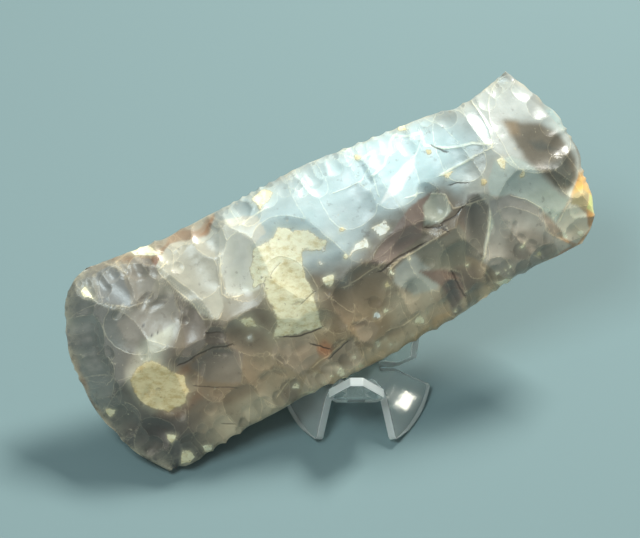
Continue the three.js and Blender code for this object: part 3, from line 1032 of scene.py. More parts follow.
CRUST_PATCHES = (
    Patch(CREAM, 1, 0.9, (
        (-25, 7), (-23, 13), (-20, 18), (-13, 17), (-10, 20), (-7, 16), (-2, 14), (2, 9), (0, 7), (-7, 9),
        (-8, 7), (-10, 1), (-12, 7), (-17, 8))),
    Patch(STRAW, 0.95, 1.3, (
        (-21, 8), (-13, 9), (-10, 5), (-9, -3), (-12, -14), (-21, -12), (-28, -10), (-24, -4), (-23, 4))),
    Patch(STRAW, 0.8, 0.8, ((-35, 1), (-31, 0), (-29, -5), (-34, -2))),
    Patch(CREAM, 0.8, 0.6, ((-8, 32), (-6, 29), (-13, 27), (-13, 31))),
    Patch(TAN, 1, 0.8, (
        (-73, 0), (-69, 3), (-64, 3), (-60, -3), (-57, -6), (-58, -11), (-61, -14), (-67, -14), (-71, -11),
        (-73, -6))),
    Patch(CREAM, 0.9, 0.3, ((-73, 31), (-71, 32), (-70, 27), (-73, 29))),
    Patch(CREAM, 0.85, 0.4, ((-54, 35), (-48, 34), (-45, 29), (-53, 33))),
    Patch(PALE, 1, 0.3, ((5, 2), (8, 4), (12, 4), (12, 1), (8, 2))),
    Patch(PALE, 1, 0.3, ((15, 6), (20, 6), (20, 3), (16, 2))),
    Patch(CREAM, 0.95, 0.3, ((42, 10), (46, 9), (43, 8))),
    Patch(CREAM, 1, 0.3, ((59, 6), (61, 6), (61, 4), (60, 2), (59, 3))),
    Patch(CREAM, 0.9, 0.5, ((41, -28), (46, -29), (49, -32), (43, -31))),
    Patch(STRAW, 0.9, 0.3, ((53, -22), (56, -21), (54, -23))),
    Patch(CREAM, 0.7, 0.5, ((-28, -30), (-22, -31), (-25, -32))),
    Patch(CREAM, 0.7, 0.5, ((-17, -31), (-10, -33), (-14, -33))),
    fleck(STRAW, -83, -6, 2),
    fleck(STRAW, -70, -22, 2),
    fleck(STRAW, -69, -30, 3),
    fleck(CREAM, -62, -31, 2),
    fleck(PALE, -34, -6, 1.2),
    fleck(CREAM, -4, -2, 2.4),
    fleck(PALE, -4, 4, 1),
    fleck(PALE, -1, 7, 0.8),
    fleck(CREAM, 4, 2, 1.3),
    fleck(STRAW, 7, 10, 1),
    fleck(CREAM, 14, -9, 1.2),
    fleck(CREAM, 21, -8, 0.8),
    fleck(TAN, 11, -12, 1.3, 0.7),
    fleck(PALE, 4, -19, 1.4),
    fleck(STRAW, 7, -19, 1.1),
    fleck(STRAW, 15, -27, 2),
    fleck(STRAW, 36, -19, 0.8),
    fleck(STRAW, 22, 27, 1.2),
    fleck(STRAW, 39, 28, 1.6),
    fleck(STRAW, 42, 18, 1.2),
    fleck(TAN, 52, 2, 1.3),
    fleck(STRAW, 64, -2, 1.3),
    fleck(CREAM, 48, -26, 0.8),
    fleck(STRAW, 58, -27, 1.2),
    fleck(CREAM, 73, -28, 1.6),
    *edge_flakes(26, 44),
)
PIT_COLOUR = (0.05, 0.045, 0.04)
PITS = tuple(fleck(PIT_COLOUR, u, v, 0.45) for u, v in ((-60, 9), (-58, 9), (-61, 13), (-65, 19), (-20, 12)))
BACK_TINTS = (
    Zone(-70, 0, 22, 34, 0, (0.14, 0.135, 0.115), 0.8),
    Zone(-10, 14, 40, 16, 0, (0.34, 0.31, 0.28), 0.7),
    Zone(50, -8, 26, 18, 10, (0.40, 0.43, 0.44), 0.7),
    Zone(20, -20, 30, 9, 0, (0.17, 0.13, 0.105), 0.7),
)
BACK_CRUST = (
    Patch(CREAM, 0.9, 0.9, ((14, 8), (20, 13), (29, 12), (31, 5), (24, 0), (17, 2))),
    Patch(TAN, 0.8, 0.8, ((-53, -8), (-48, -3), (-43, -9), (-45, -16), (-51, -17))),
)


@dataclass
class FlintPaint:
    """Colour layers of the axe, worked out on its grid."""

    # Painted light: gain that makes the lower half lighter and warmer, standing in for the light it lacks.
    painted_lower_light: tuple[float, float, float] = (0.85, 0.70, 0.50)

    def tint(self, face: Face, u: np.ndarray, v: np.ndarray) -> np.ndarray:
        """Body colour from the tint zones, with warped borders and cloudy streaks, and painted light that
        lifts the lower half.

        Args:
            face: Which face.
            u: Coordinate along, mm.
            v: Coordinate across, mm.

        Returns:
            Linear colours, last axis 3.
        """
        wu = u + 6.0 * fractal(u, v, 16.0, 201)
        wv = v + 6.0 * fractal(u, v, 16.0, 211)
        colour = np.broadcast_to(np.array(BASE_TINT), u.shape + (3,)).copy()
        for zone in FRONT_TINTS if face is Face.FRONT else BACK_TINTS:
            share = zone.share(wu, wv, 0.55)[..., None]
            colour = colour * (1 - share) + np.array(zone.colour) * share
        wu = u + 0.5 * fractal(u, v, 4.0, 241, 3)
        wv = v + 0.5 * fractal(u, v, 4.0, 251, 3)
        for patch in (*FRONT_FACETS, *PITS) if face is Face.FRONT else ():
            share = patch.share(wu, wv)[..., None]
            colour = colour * (1 - share) + np.array(patch.colour) * share
        cloud = 1 + 0.10 * fractal(u, v, 11.0, 221) + 0.08 * fractal(u * 0.5 + v, v * 2.2, 6.0, 231)
        # Painted light, lighter and warmer towards the lower edge, fading out towards the cutting end.
        lower_light_share = smooth_step(-v, 2.0, 20.0) * smooth_step(u, -72.0, -56.0)
        lower_light_gain = lower_light_share[..., None] * np.array(self.painted_lower_light)
        return colour * cloud[..., None] * (1 + lower_light_gain)

    def crust(self, face: Face, u: np.ndarray, v: np.ndarray) -> tuple[np.ndarray, ...]:
        """Cream crust patches with ragged borders, their colour and the pale halo round them.

        Args:
            face: Which face.
            u: Coordinate along, mm.
            v: Coordinate across, mm.

        Returns:
            Crust share, crust colour and halo share.
        """
        ragged_u = fractal(u, v, 6.0, 301)
        ragged_v = fractal(u, v, 6.0, 311)
        fine_u = fractal(u, v, 1.8, 341, 2)
        fine_v = fractal(u, v, 1.8, 351, 2)
        total, halo = np.zeros_like(u), np.zeros_like(u)
        colour = np.broadcast_to(np.array(STRAW), u.shape + (3,)).copy()
        for patch in CRUST_PATCHES if face is Face.FRONT else BACK_CRUST:
            big = patch.soft > 0.5
            wu = u + (1.0 * ragged_u if big else 0.0) + 0.35 * fine_u
            wv = v + (1.0 * ragged_v if big else 0.0) + 0.35 * fine_v
            share = patch.share(wu, wv)
            total = np.maximum(total, share)
            halo = np.maximum(halo, replace(patch, soft=3.0 * patch.soft + 0.3).share(wu, wv))
            mask = smooth_step(share, 0.0, 0.6)[..., None]
            colour = colour * (1 - mask) + np.array(patch.colour) * mask
        holes = np.clip(0.92 + 0.35 * fractal(u + 0.6 * v, v, 3.2, 321), 0, 1)
        return np.clip(total * holes, 0, 1), colour, 0.45 * halo


# ---------------------------------------------------------------- materials


@dataclass
class NodeBoard:
    """Small helper that adds and links shader nodes in one material."""

    material: bpy.types.Material

    def __post_init__(self) -> None:
        """Switches nodes on and clears them."""
        self.material.use_nodes = True
        self.material.node_tree.nodes.clear()

    def add(self, kind: str, **values: object) -> bpy.types.ShaderNode:
        """Adds a node; keyword names are attributes, or input sockets written with spaces as underscores.

        Args:
            kind: Node type.
            **values: Attribute or input values; a socket value makes a link.

        Returns:
            The node.
        """
        node = self.material.node_tree.nodes.new(kind)
        later = []
        for name, value in values.items():
            if hasattr(node, name):
                setattr(node, name, value)
            else:
                later.append((name.replace("_", " "), value))
        for name, value in later:
            socket = node.inputs[int(name[1:])] if name[1:].isdigit() else node.inputs[name]
            if isinstance(value, bpy.types.NodeSocket):
                self.material.node_tree.links.new(value, socket)
            else:
                socket.default_value = value
        return node

    def mix(self, share: object, low: object, high: object, blend: str = "MIX") -> bpy.types.NodeSocket:
        """Colour mix.

        Args:
            share: Factor or socket.
            low: First colour or socket.
            high: Second colour or socket.
            blend: Blend type.

        Returns:
            Colour output.
        """
        node = self.add("ShaderNodeMix", data_type="RGBA", blend_type=blend)
        for index, value in ((0, share), (6, low), (7, high)):
            if isinstance(value, bpy.types.NodeSocket):
                self.material.node_tree.links.new(value, node.inputs[index])
            elif index:
                node.inputs[index].default_value = (*value, 1.0)
            else:
                node.inputs[index].default_value = value
        return node.outputs[2]

    def maths(self, operation: str, a: object, b: object = 0.5) -> bpy.types.NodeSocket:
        """Scalar arithmetic.

        Args:
            operation: Operation name.
            a: First value or socket.
            b: Second value or socket.

        Returns:
            Value output.
        """
        return self.add("ShaderNodeMath", operation=operation, i0=a, i1=b).outputs[0]

    def ramp(self, value: bpy.types.NodeSocket, low: float, high: float) -> bpy.types.NodeSocket:
        """Smooth 0 to 1 ramp of a value.

        Args:
            value: Value to ramp.
            low: Where it is 0.
            high: Where it is 1.

        Returns:
            Value output.
        """
        node = self.add(
            "ShaderNodeMapRange", interpolation_type="SMOOTHSTEP", Value=value, From_Min=low, From_Max=high)
        return node.outputs[0]

    def noise(
        self, scale: float, detail: float, rough: float, stretch: tuple[float, float, float] = (1, 1, 1)
    ) -> bpy.types.NodeSocket:
        """Noise in object coordinates.

        Args:
            scale: Lattice cells a metre.
            detail: Octaves.
            rough: Octave weight.
            stretch: Scale on each axis.

        Returns:
            Value output.
        """
        place = self.add("ShaderNodeTexCoord").outputs["Object"]
        mapped = self.add("ShaderNodeMapping", Vector=place, Scale=stretch).outputs[0]
        node = self.add("ShaderNodeTexNoise", Vector=mapped, Scale=scale, Detail=detail, Roughness=rough)
        return node.outputs[0]

    def finish(self, shader: bpy.types.ShaderNode) -> bpy.types.Material:
        """Links the shader to the output.

        Args:
            shader: Surface shader.

        Returns:
            The material.
        """
        self.add("ShaderNodeOutputMaterial", Surface=shader.outputs[0])
        return self.material


@dataclass(frozen=True)
class FlintFinish:
    """Waxy flint with cloudy colour, painted highlights along the ridges, painted shade beside the steps and
    rough cream crust.
    """

    name: str = "flint"
    crust_shade: tuple[float, float, float] = (0.74, 0.66, 0.52)
    # pale colours the specks and the rim and tints the painted ridge highlights; shade is the colour of the
    # painted shade beside the steps.
    pale: tuple[float, float, float] = (0.62, 0.56, 0.40)
    shade: tuple[float, float, float] = (0.055, 0.042, 0.03)
    stain: tuple[float, float, float] = (0.24, 0.17, 0.10)
    wax: float = 0.32

    def build(self) -> bpy.types.Material:
        """The material.

        Returns:
            A new material that reads the axe's own attributes.
        """
        board = NodeBoard(bpy.data.materials.new(self.name))
        tint = board.add("ShaderNodeAttribute", attribute_name="tint").outputs["Color"]
        crust_at = board.add("ShaderNodeAttribute", attribute_name="crust").outputs["Fac"]
        lines = []
        # The pale line field is the painted highlight along ridges, the dark one the painted shade beside
        # steps.
        for prefix in ("pale", "dark"):
            offset = board.add("ShaderNodeAttribute", attribute_name=f"{prefix}_offset").outputs["Fac"]
            strength = board.add(
                "ShaderNodeAttribute", attribute_name=f"{prefix}_strength").outputs["Fac"]
            core = board.ramp(board.maths("ABSOLUTE", offset), 1.5, 0.25)
            lines.append(board.maths("MULTIPLY", core, strength))
        rim_at = board.add("ShaderNodeAttribute", attribute_name="rim").outputs["Fac"]
        cloud = board.noise(120, 6, 0.62)
        grain = board.noise(900, 5, 0.65)
        body = board.mix(0.30, tint, board.add(
            "ShaderNodeCombineColor", Red=cloud, Green=cloud, Blue=cloud).outputs[0], "OVERLAY")
        speck = board.ramp(board.noise(800, 2, 0.4), 0.70, 0.78)
        body = board.mix(board.maths("MULTIPLY", speck, 0.35), body, self.pale)
        dark = board.ramp(board.noise(420, 4, 0.6), 0.60, 0.72)
        body = board.mix(board.maths("MULTIPLY", dark, 0.30), body, (0.10, 0.07, 0.055))
        # Painted highlight along the ridges: the body lightened towards pale, in broken dashes.
        broken = board.ramp(board.noise(260, 4, 0.7), 0.42, 0.62)
        gaps = board.maths("ADD", board.maths("MULTIPLY", broken, 0.55), 0.45)
        line = board.maths("MULTIPLY", lines[0], gaps)
        glow = board.mix(1.0, body, (2.2, 2.05, 1.75), "MULTIPLY")
        body = board.mix(line, body, board.mix(0.40, glow, self.pale))
        # Painted shade beside the steps.
        body = board.mix(board.maths("MULTIPLY", lines[1], 0.85), body, self.shade)
        rim = board.maths("MULTIPLY", rim_at, board.ramp(board.noise(180, 5, 0.7), 0.38, 0.60))
        body = board.mix(board.maths("MULTIPLY", rim, 0.8), body, self.pale)
        chalk_at = board.add("ShaderNodeAttribute", attribute_name="chalk").outputs["Color"]
        mottle = board.ramp(board.noise(330, 6, 0.7, (1.0, 1.0, 2.0)), 0.30, 0.60)
        chalk = board.mix(mottle, board.mix(1.0, chalk_at, self.crust_shade, "MULTIPLY"), chalk_at)
        torn = board.maths("ADD", crust_at, board.maths("MULTIPLY", board.maths("SUBTRACT", grain, 0.5), 0.7))
        share = board.ramp(torn, 0.30, 0.74)
        ring = board.maths("MULTIPLY", share, board.maths("SUBTRACT", 1.0, share))
        body = board.mix(board.maths("MULTIPLY", ring, 2.2), body, self.stain)
        pits = board.ramp(board.noise(520, 3, 0.6), 0.64, 0.70)
        chalk = board.mix(board.maths("MULTIPLY", pits, 0.55), chalk, self.stain)
        colour = board.mix(share, body, chalk)
        # Painted shade beside the steps, again over the crust.
        colour = board.mix(board.maths("MULTIPLY", lines[1], 0.55), colour, self.shade)
        rough = board.add("ShaderNodeMix", data_type="FLOAT", i0=share, i2=self.wax, i3=0.72).outputs[0]
        rough = board.maths("ADD", rough, board.maths("MULTIPLY", board.maths("SUBTRACT", grain, 0.5), 0.16))
        step = board.maths("SUBTRACT", lines[0], lines[1])
        height = board.maths("ADD", board.maths("MULTIPLY", grain, 0.22), board.maths("MULTIPLY", share, 0.4))
        height = board.maths("ADD", height, board.maths("MULTIPLY", step, 0.35))
        bump = board.add("ShaderNodeBump", Height=height, Strength=0.35, Distance=0.0006).outputs[0]
        return board.finish(board.add(
            "ShaderNodeBsdfPrincipled", Base_Color=colour, Roughness=rough, Normal=bump, IOR=1.54,
            Specular_IOR_Level=0.55, Subsurface_Weight=0.05, Subsurface_Radius=(1.0, 0.7, 0.5),
            Subsurface_Scale=0.002, Coat_Weight=0.10, Coat_Roughness=0.22))


@dataclass(frozen=True)
class AcrylicFinish:
    """Clear acrylic: polished sheet faces or hazier sawn edges. The share that is not clear is a milky white
    diffuse: on the faces a painted reflection of the bright surroundings, on the sawn edges partly real
    frosting and partly the same painted reflection.
    """

    name: str
    haze: float
    clear: float
    tint: tuple[float, float, float] = (0.94, 0.985, 0.955)

    def build(self) -> bpy.types.Material:
        """The material.

        Returns:
            A new glass-like material with faint scuffs in its gloss.
        """
        board = NodeBoard(bpy.data.materials.new(self.name))
        scuff = board.ramp(board.noise(700, 5, 0.7, (1, 3, 1)), 0.45, 0.75)
        rough = board.maths("ADD", board.maths("MULTIPLY", scuff, 0.05), self.haze)
        ripple = board.noise(90, 2, 0.4)
        bump = board.add("ShaderNodeBump", Height=ripple, Strength=0.06, Distance=0.0004).outputs[0]
        return board.finish(board.add(
            "ShaderNodeBsdfPrincipled", Base_Color=(*self.tint, 1.0), Roughness=rough, Normal=bump, IOR=1.49,
            Transmission_Weight=self.clear))


# ---------------------------------------------------------------- pieces


def mesh_object(name: str, points: np.ndarray, faces: np.ndarray) -> bpy.types.Object:
    """Object at the origin with a mesh put in as whole arrays.

    Args:
        name: Piece name.
        points: (n, 3) points in metres.
        faces: (m, 4) corner indices; a triangle repeats its last corner.

    Returns:
        The linked object.
    """
    quads = faces[faces[:, 2] != faces[:, 3]]
    triangles = faces[faces[:, 2] == faces[:, 3]][:, :3]
    corners = np.concatenate([quads.ravel(), triangles.ravel()])
    sizes = np.concatenate([np.full(len(quads), 4), np.full(len(triangles), 3)])
    starts = np.concatenate([[0], np.cumsum(sizes)[:-1]])
    mesh = bpy.data.meshes.new(name)
    mesh.vertices.add(len(points))
    mesh.loops.add(len(corners))
    mesh.polygons.add(len(sizes))
    mesh.vertices.foreach_set("co", points.astype(np.float32).ravel())
    mesh.loops.foreach_set("vertex_index", corners.astype(np.int32))
    mesh.polygons.foreach_set("loop_start", starts.astype(np.int32))
    mesh.polygons.foreach_set("use_smooth", np.ones(len(sizes), dtype=bool))
    mesh.update(calc_edges=True)
    mesh.validate()
    made = bpy.data.objects.new(name, mesh)
    bpy.context.scene.collection.objects.link(made)
    return made


def grid_quads(grid: np.ndarray) -> np.ndarray:
    """Quads between neighbours of a grid of vertex numbers.

    Args:
        grid: (rows, columns) vertex numbers.

    Returns:
        (n, 4) corner indices.
    """
    corners = [grid[:-1, :-1], grid[1:, :-1], grid[1:, 1:], grid[:-1, 1:]]
    return np.stack(corners, axis=-1).reshape(-1, 4)


def put_attribute(mesh: bpy.types.Mesh, name: str, values: np.ndarray) -> None:
    """Stores a value or a colour on every vertex.

    Args:
        mesh: Mesh to write to.
        name: Attribute name.
        values: (n,) numbers or (n, 3) linear colours.
    """
    if values.ndim == 1:
        mesh.attributes.new(name, "FLOAT", "POINT").data.foreach_set("value", values.astype(np.float32))
        return
    colours = np.concatenate([np.clip(values, 0, 1), np.ones((len(values), 1))], axis=1)
    layer = mesh.attributes.new(name, "FLOAT_COLOR", "POINT")
    layer.data.foreach_set("color", colours.astype(np.float32).ravel())


@dataclass
class FlintAxe:
    """The axe head: two scarred height fields that share one scalloped rim."""

    shape: FlintShape = field(default_factory=FlintShape)
    paint: FlintPaint = field(default_factory=FlintPaint)
    finish: FlintFinish = field(default_factory=FlintFinish)
    place: tuple[float, float, float] = (0.95, 1.42, 45.15)
    rise: float = 17.0
    turn: float = 23.5
    face_elevation: float = 42.0
    rim_reach: float = 0.15

    def basis(self) -> np.ndarray:
        """Rows: along, across and face normal of the resting axe.

        Returns:
            A (3, 3) array of unit vectors.
        """
        rise, turn, lean = (math.radians(x) for x in (self.rise, self.turn, self.face_elevation))
        along = np.array([math.cos(rise) * math.cos(turn), math.cos(rise) * math.sin(turn), math.sin(rise)])
        across = np.cross([0, -math.cos(lean), math.sin(lean)], along)
        across /= np.linalg.norm(across)
        return np.stack([along, across, np.cross(along, across)])

    def build(self) -> bpy.types.Object:
        """Grid both faces, weld them by index at the rim and store the colour layers.

        Returns:
            The finished piece.
        """
        a, b = self.shape.parameters()
        plan = self.shape.plan(a, b)
        u, v = plan[..., 0], plan[..., 1]
        rim = np.zeros_like(a, dtype=bool)
        rim[[0, -1], :] = True
        rim[:, [0, -1]] = True
        wave = self.shape.edge_wave(a, b)
        near_rim = np.exp(-self.shape.body(a, b) / self.rim_reach)
        locals_, layers = [], []
        for face in Face:
            relief = self.shape.height(face, a, b, plan)
            w = np.where(rim, 0.0, face.value * np.maximum(relief.height, 0.02)) + wave
            locals_.append(np.stack([u, v, w], axis=-1).reshape(-1, 3))
            crust, chalk, halo = self.paint.crust(face, u, v)
            tint = self.paint.tint(face, u, v) * relief.tone[..., None]
            tint = tint * (1 - halo[..., None]) + chalk * halo[..., None]
            layers.append({
                "tint": tint.reshape(-1, 3),
                "chalk": chalk.reshape(-1, 3),
                "crust": crust.ravel(),
                "rim": near_rim.ravel(),
                "pale_offset": relief.pale.offset.ravel(),
                "pale_strength": relief.pale.strength.ravel(),
                "dark_offset": relief.dark.offset.ravel(),
                "dark_strength": relief.dark.strength.ravel(),
            })
        count = a.size
        keep = ~rim.ravel()
        back_index = np.where(keep, count + np.cumsum(keep) - 1, np.arange(count))
        grid = np.arange(count).reshape(a.shape)
        quad = grid_quads(grid)
        points = np.concatenate([locals_[0], locals_[1][keep]]) @ self.basis() + np.array(self.place)
        made = mesh_object("flint_axe_look", points * MM, np.concatenate([quad, back_index[quad][:, ::-1]]))
        front, back = layers
        for name, values in front.items():
            put_attribute(made.data, name, np.concatenate([values, back[name][keep]]))
        made.data.materials.append(self.finish.build())
        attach(made, "root")
        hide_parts("flint_axe")
        return made


@dataclass(frozen=True)
class Petal:
    """One bent sector of the stand.

    Args:
        azimuth: Direction from the hub, degrees, 0 towards the viewer.
        radius: Flat radius of its rim, mm.
        fold: Radius where the bend starts, mm.
        angle: Bend, degrees, negative down.
        pointed: True for a prong, False for a leg.
    """

    azimuth: float
    radius: float
    fold: float
    angle: float
    pointed: bool


# The hub counts as a petal whose fold is never reached.
FLAT_HUB = Petal(0, 20, 99, 1, False)
HUB_RINGS = (0.25, 0.5, 0.75)


@dataclass
class AcrylicStand:
    """Clear sheet disc, slit into six petals: three bent down as legs, three bent up as prongs."""

    sheet: float = 3.0
    hub_top: float = 15.0
    hub_radius: float = 7.6
    bend_radius: float = 4.0
    slit: float = 1.6
    centre: tuple[float, float] = (7.76, -13.68)
    shoulder: float = 17.5
    shoulder_half: float = 9.0
    tip_half: float = 2.0
    leg_rim_angle: float = 26.0
    cells_wide: int = 8
    rows: int = 30
    petals: tuple[Petal, ...] = (
        Petal(0, 27.5, 10.2, 73, True),
        Petal(63, 28.0, 9.5, -55, False),
        Petal(120, 27.5, 10.2, 50, True),
        Petal(180, 28.0, 9.5, -55, False),
        Petal(240, 27.5, 10.2, 50, True),
        Petal(297, 28.0, 9.5, -55, False),
    )

    def sector_half(self, radius: np.ndarray) -> np.ndarray:
        """Half width of a sixty degree sector less half a slit.

        Args:
            radius: Flat radii, mm.

        Returns:
            Half widths, mm.
        """
        return radius * math.tan(math.radians(30)) - self.slit

    def flat(self, petal: Petal, s: np.ndarray, q: np.ndarray) -> tuple[np.ndarray, np.ndarray]:
        """Flat outline of a petal: radius and sideways place for s outwards and q across.

        Args:
            petal: The petal.
            s: 0 at the hub, 1 at the rim.
            q: -1 to 1 across.

        Returns:
            Radius and sideways place, mm.
        """
        start = self.sector_half(np.array(self.hub_radius))
        inner_turn = math.asin(float(start) / self.hub_radius)
        inner, inner_side = self.hub_radius * np.cos(q * inner_turn), self.hub_radius * np.sin(q * inner_turn)
        if petal.pointed:
            radius = inner + (petal.radius - inner) * s
            share = np.clip((radius - self.shoulder) / (petal.radius - self.shoulder), 0, 1)
            widest = self.shoulder_half + (self.tip_half - self.shoulder_half) * share
        else:
            rim_half = petal.radius * math.sin(math.radians(self.leg_rim_angle))
            radius = inner + (np.sqrt(petal.radius**2 - (q * rim_half) ** 2) - inner) * s
            widest = np.full_like(radius, rim_half)
        side = q * np.minimum(self.sector_half(radius), widest)
        blend = smooth_step(s, 0, 0.15)
        return radius, inner_side * (1 - blend) + side * blend

    def bend(self, petal: Petal, radius: np.ndarray, side: np.ndarray, height: float) -> np.ndarray:
        """Bends flat sheet points: flat to the fold, an arc of the bend radius, then straight.

        Args:
            petal: The petal.
            radius: Flat radii, mm.
            side: Sideways places, mm.
            height: Height over the sheet's middle, mm.

        Returns:
            Points in the row frame, last axis 3, mm.
        """
        sign = math.copysign(1.0, petal.angle)
        past = np.maximum(0, radius - petal.fold)
        arc = np.minimum(past, self.bend_radius * math.radians(abs(petal.angle)))
        here = sign * arc / self.bend_radius
        out = np.minimum(radius, petal.fold) + self.bend_radius * np.sin(np.abs(here))
        out = out + (past - arc) * np.cos(here) - height * np.sin(here)
        fold_rise = sign * self.bend_radius * (1 - np.cos(here))
        up = fold_rise + (past - arc) * np.sin(here) + height * np.cos(here)
        turn = math.radians(petal.azimuth - 90)
        x = self.centre[0] + out * math.cos(turn) - side * math.sin(turn)
        y = self.centre[1] + out * math.sin(turn) + side * math.cos(turn)
        return np.stack([x, y, self.hub_top - self.sheet / 2 + up], axis=-1)

    def layer(self, height: float) -> np.ndarray:
        """All points of the sheet at one height: the hub's middle, its rings, then each petal's rows.

        Args:
            height: Height over the sheet's middle, mm.

        Returns:
            (n, 3) points, mm.
        """
        q = np.linspace(-1, 1, self.cells_wide + 1)
        s = np.linspace(0, 1, self.rows + 1)
        middle = self.bend(FLAT_HUB, np.zeros(1), np.zeros(1), height)
        rings = []
        turns = self.rim_turns()
        for share in HUB_RINGS:
            ring = self.hub_radius * share
            rings.append(self.bend(FLAT_HUB, ring * np.cos(turns), ring * np.sin(turns), height))
        grid_s, grid_q = np.meshgrid(s, q, indexing="ij")
        rows = []
        for petal in self.petals:
            radius, side = self.flat(petal, grid_s, grid_q)
            rows.append(self.bend(petal, radius, side, height).reshape(-1, 3))
        return np.concatenate([middle, *rings, *rows])

    def rim_turns(self) -> np.ndarray:
        """Angles of the hub's rim points, petal by petal, from the front, in radians.

        Returns:
            One angle for each rim point.
        """
        start = float(self.sector_half(np.array(self.hub_radius)))
        q = np.linspace(-1, 1, self.cells_wide + 1) * math.asin(start / self.hub_radius)
        return np.concatenate([math.radians(petal.azimuth) + q for petal in self.petals])

    def sheet_faces(self) -> np.ndarray:
        """Quads of one side of the sheet; triangles repeat their last corner.

        Returns:
            (n, 4) corner indices, facing up.
        """
        wide = self.cells_wide + 1
        around = wide * len(self.petals)
        rings = [1 + k * around + np.arange(around) for k in range(len(HUB_RINGS))]
        per = (self.rows + 1) * wide
        first = 1 + len(HUB_RINGS) * around
        rim = np.concatenate([first + k * per + np.arange(wide) for k in range(len(self.petals))])
        faces = []
        following = np.roll(rings[0], -1)
        middle = np.zeros(around, dtype=int)
        faces.append(np.stack([middle, rings[0], following, following], axis=-1))
        for low, high in zip(rings, [*rings[1:], rim]):
            faces.append(np.stack([low, high, np.roll(high, -1), np.roll(low, -1)], axis=-1))
        for k in range(len(self.petals)):
            grid = first + k * per + np.arange(per).reshape(self.rows + 1, wide)
            faces.append(grid_quads(grid))
        return np.concatenate(faces)

    def build(self) -> bpy.types.Object:
        """Top and bottom layers joined by walls along every free edge, feet ground flat, edges eased.

        Returns:
            The finished piece.
        """
        top, bottom = self.layer(self.sheet / 2), self.layer(-self.sheet / 2)
        faces = self.sheet_faces()
        count = len(top)
        sides = np.concatenate([faces[:, [0, 1]], faces[:, [1, 2]], faces[:, [2, 3]], faces[:, [3, 0]]])
        sides = sides[sides[:, 0] != sides[:, 1]]
        _, inverse, uses = np.unique(
            np.sort(sides, axis=1), axis=0, return_inverse=True, return_counts=True)
        free = sides[uses[inverse.ravel()] == 1]
        walls = np.stack([free[:, 0], free[:, 0] + count, free[:, 1] + count, free[:, 1]], axis=-1)
        flipped = faces[:, ::-1] + count
        flipped = np.where((faces[:, 2] == faces[:, 3])[:, None], flipped[:, [1, 2, 3, 3]], flipped)
        points = np.concatenate([top, bottom])
        points[:, 2] = np.maximum(points[:, 2], 0.0)
        made = mesh_object("acrylic_stand_look", points * MM, np.concatenate([faces, flipped, walls]))
        made.data.materials.append(AcrylicFinish("acrylic_face", 0.05, 0.86).build())
        made.data.materials.append(AcrylicFinish("acrylic_edge", 0.30, 0.50).build())
        quads = int((faces[:, 2] != faces[:, 3]).sum()) * 2
        marks = np.zeros(len(made.data.polygons), dtype=np.int32)
        marks[quads:quads + len(walls)] = 1
        made.data.polygons.foreach_set("material_index", marks)
        made.data.set_sharp_from_angle(angle=math.radians(40))
        eased = made.modifiers.new("eased_edges", "BEVEL")
        eased.width = 0.25 * MM
        eased.segments = 2
        eased.limit_method = "ANGLE"
        eased.angle_limit = math.radians(50)
        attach(made, "root")
        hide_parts("acrylic_stand")
        return made


# ---------------------------------------------------------------- stage


@dataclass(frozen=True)
class Lamp:
    """One soft panel light.

    Args:
        name: Light name.
        place: Place in metres.
        size: Width and height in metres.
        power: Watts.
        colour: Linear colour.
        target: Point it faces, metres.
    """

    name: str
    place: tuple[float, float, float]
    size: tuple[float, float]
    power: float
    colour: tuple[float, float, float]
    target: tuple[float, float, float] = (0, 0, 0.04)

    def build(self) -> bpy.types.Object:
        """The panel, unseen by the camera.

        Returns:
            The light.
        """
        lamp = bpy.data.lights.new(self.name, "AREA")
        lamp.shape = "RECTANGLE"
        lamp.size, lamp.size_y = self.size
        lamp.energy = self.power
        lamp.color = self.colour
        made = bpy.data.objects.new(self.name, lamp)
        made.visible_camera = False
        turned = (Vector(self.target) - Vector(self.place)).to_track_quat("-Z", "Y").to_matrix().to_4x4()
        made.matrix_world = Matrix.Translation(self.place) @ turned
        bpy.context.scene.collection.objects.link(made)
        return made


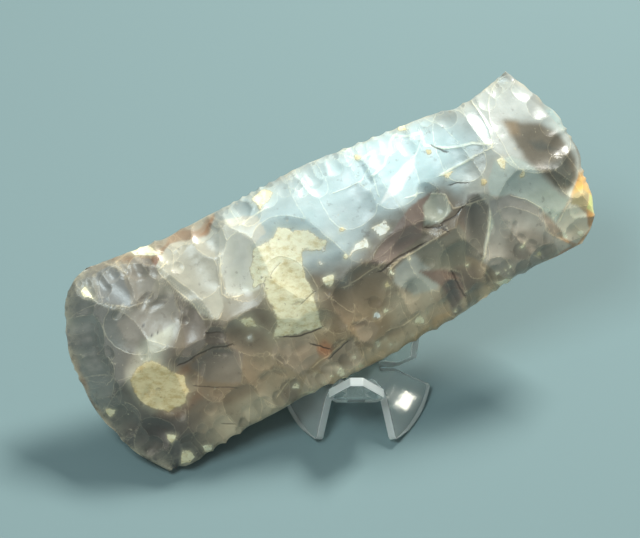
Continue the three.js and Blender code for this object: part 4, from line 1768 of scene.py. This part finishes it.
@dataclass
class Studio:
    """Plain pale floor, soft lights and the camera."""

    elevation: float = 48.0
    distance: float = 0.80
    width_seen: float = 0.200
    aim_shift: tuple[float, float] = (-4.56, -0.9)
    aim: tuple[float, float, float] = (0.96, 1.42, 45.15)
    sensor: float = 36.0
    floor_reach: float = 3.0
    floor_colour: tuple[float, float, float] = (0.185, 0.268, 0.276)
    sky_colour: tuple[float, float, float] = (0.80, 0.88, 0.92)
    sky_strength: float = 0.17
    lamps: tuple[Lamp, ...] = (
        Lamp("key", (0.42, 0.60, 0.95), (0.34, 0.26), 19.0, (1.0, 1.0, 0.95)),
        Lamp("sheen", (-0.33, -0.30, 0.95), (0.46, 0.26), 5.0, (0.82, 0.97, 1.0)),
        Lamp("glint", (0.1424, -0.0046, 0.0042), (0.0060, 0.0042), 0.0018, (1.0, 0.95, 0.82),
             (0.0236, -0.0218, 0.0072)),
        Lamp("front_fill", (-0.6, -0.8, 0.5), (0.5, 0.5), 1.6, (1.0, 0.94, 0.84)),
    )

    def floor(self) -> bpy.types.Object:
        """A wide plain floor.

        Returns:
            The floor.
        """
        corners = self.floor_reach * np.array([[-1, -1, 0], [1, -1, 0], [1, 1, 0], [-1, 1, 0]], dtype=float)
        made = mesh_object("floor", corners, np.array([[0, 1, 2, 3]]))
        board = NodeBoard(bpy.data.materials.new("floor"))
        shader = board.add("ShaderNodeBsdfPrincipled", Base_Color=(*self.floor_colour, 1.0), Roughness=0.9)
        made.data.materials.append(board.finish(shader))
        return made

    def camera(self) -> bpy.types.Object:
        """Camera at the viewing angle, far enough back to look nearly parallel.

        Returns:
            The camera.
        """
        tilt = math.radians(self.elevation)
        right, up = Vector((1, 0, 0)), Vector((0, math.sin(tilt), math.cos(tilt)))
        back = right.cross(up)
        target = (Vector(self.aim) + right * self.aim_shift[0] + up * self.aim_shift[1]) * MM
        lens = bpy.data.cameras.new("camera")
        lens.sensor_width = self.sensor
        lens.lens = self.sensor * self.distance / self.width_seen
        lens.clip_end = 10.0
        made = bpy.data.objects.new("camera", lens)
        turned = Matrix((right, up, back)).transposed().to_4x4()
        made.matrix_world = Matrix.Translation(target + back * self.distance) @ turned
        bpy.context.scene.collection.objects.link(made)
        bpy.context.scene.camera = made
        return made

    def build(self) -> None:
        """Puts the stage in."""
        bpy.context.scene.view_settings.view_transform = "Standard"
        world = bpy.data.worlds.new("world")
        bpy.context.scene.world = world
        world.use_nodes = True
        background = world.node_tree.nodes["Background"]
        background.inputs[0].default_value = (*self.sky_colour, 1.0)
        background.inputs[1].default_value = self.sky_strength
        pieces = [self.floor(), *(lamp.build() for lamp in self.lamps), self.camera()]


def main() -> None:
    logging.basicConfig(level=logging.INFO)
    for maker in (FlintAxe(), AcrylicStand()):
        made = maker.build()
        log.info("%s: %d faces", made.name, len(made.data.polygons))
    Studio().build()


if __name__ == "__main__":
    main()
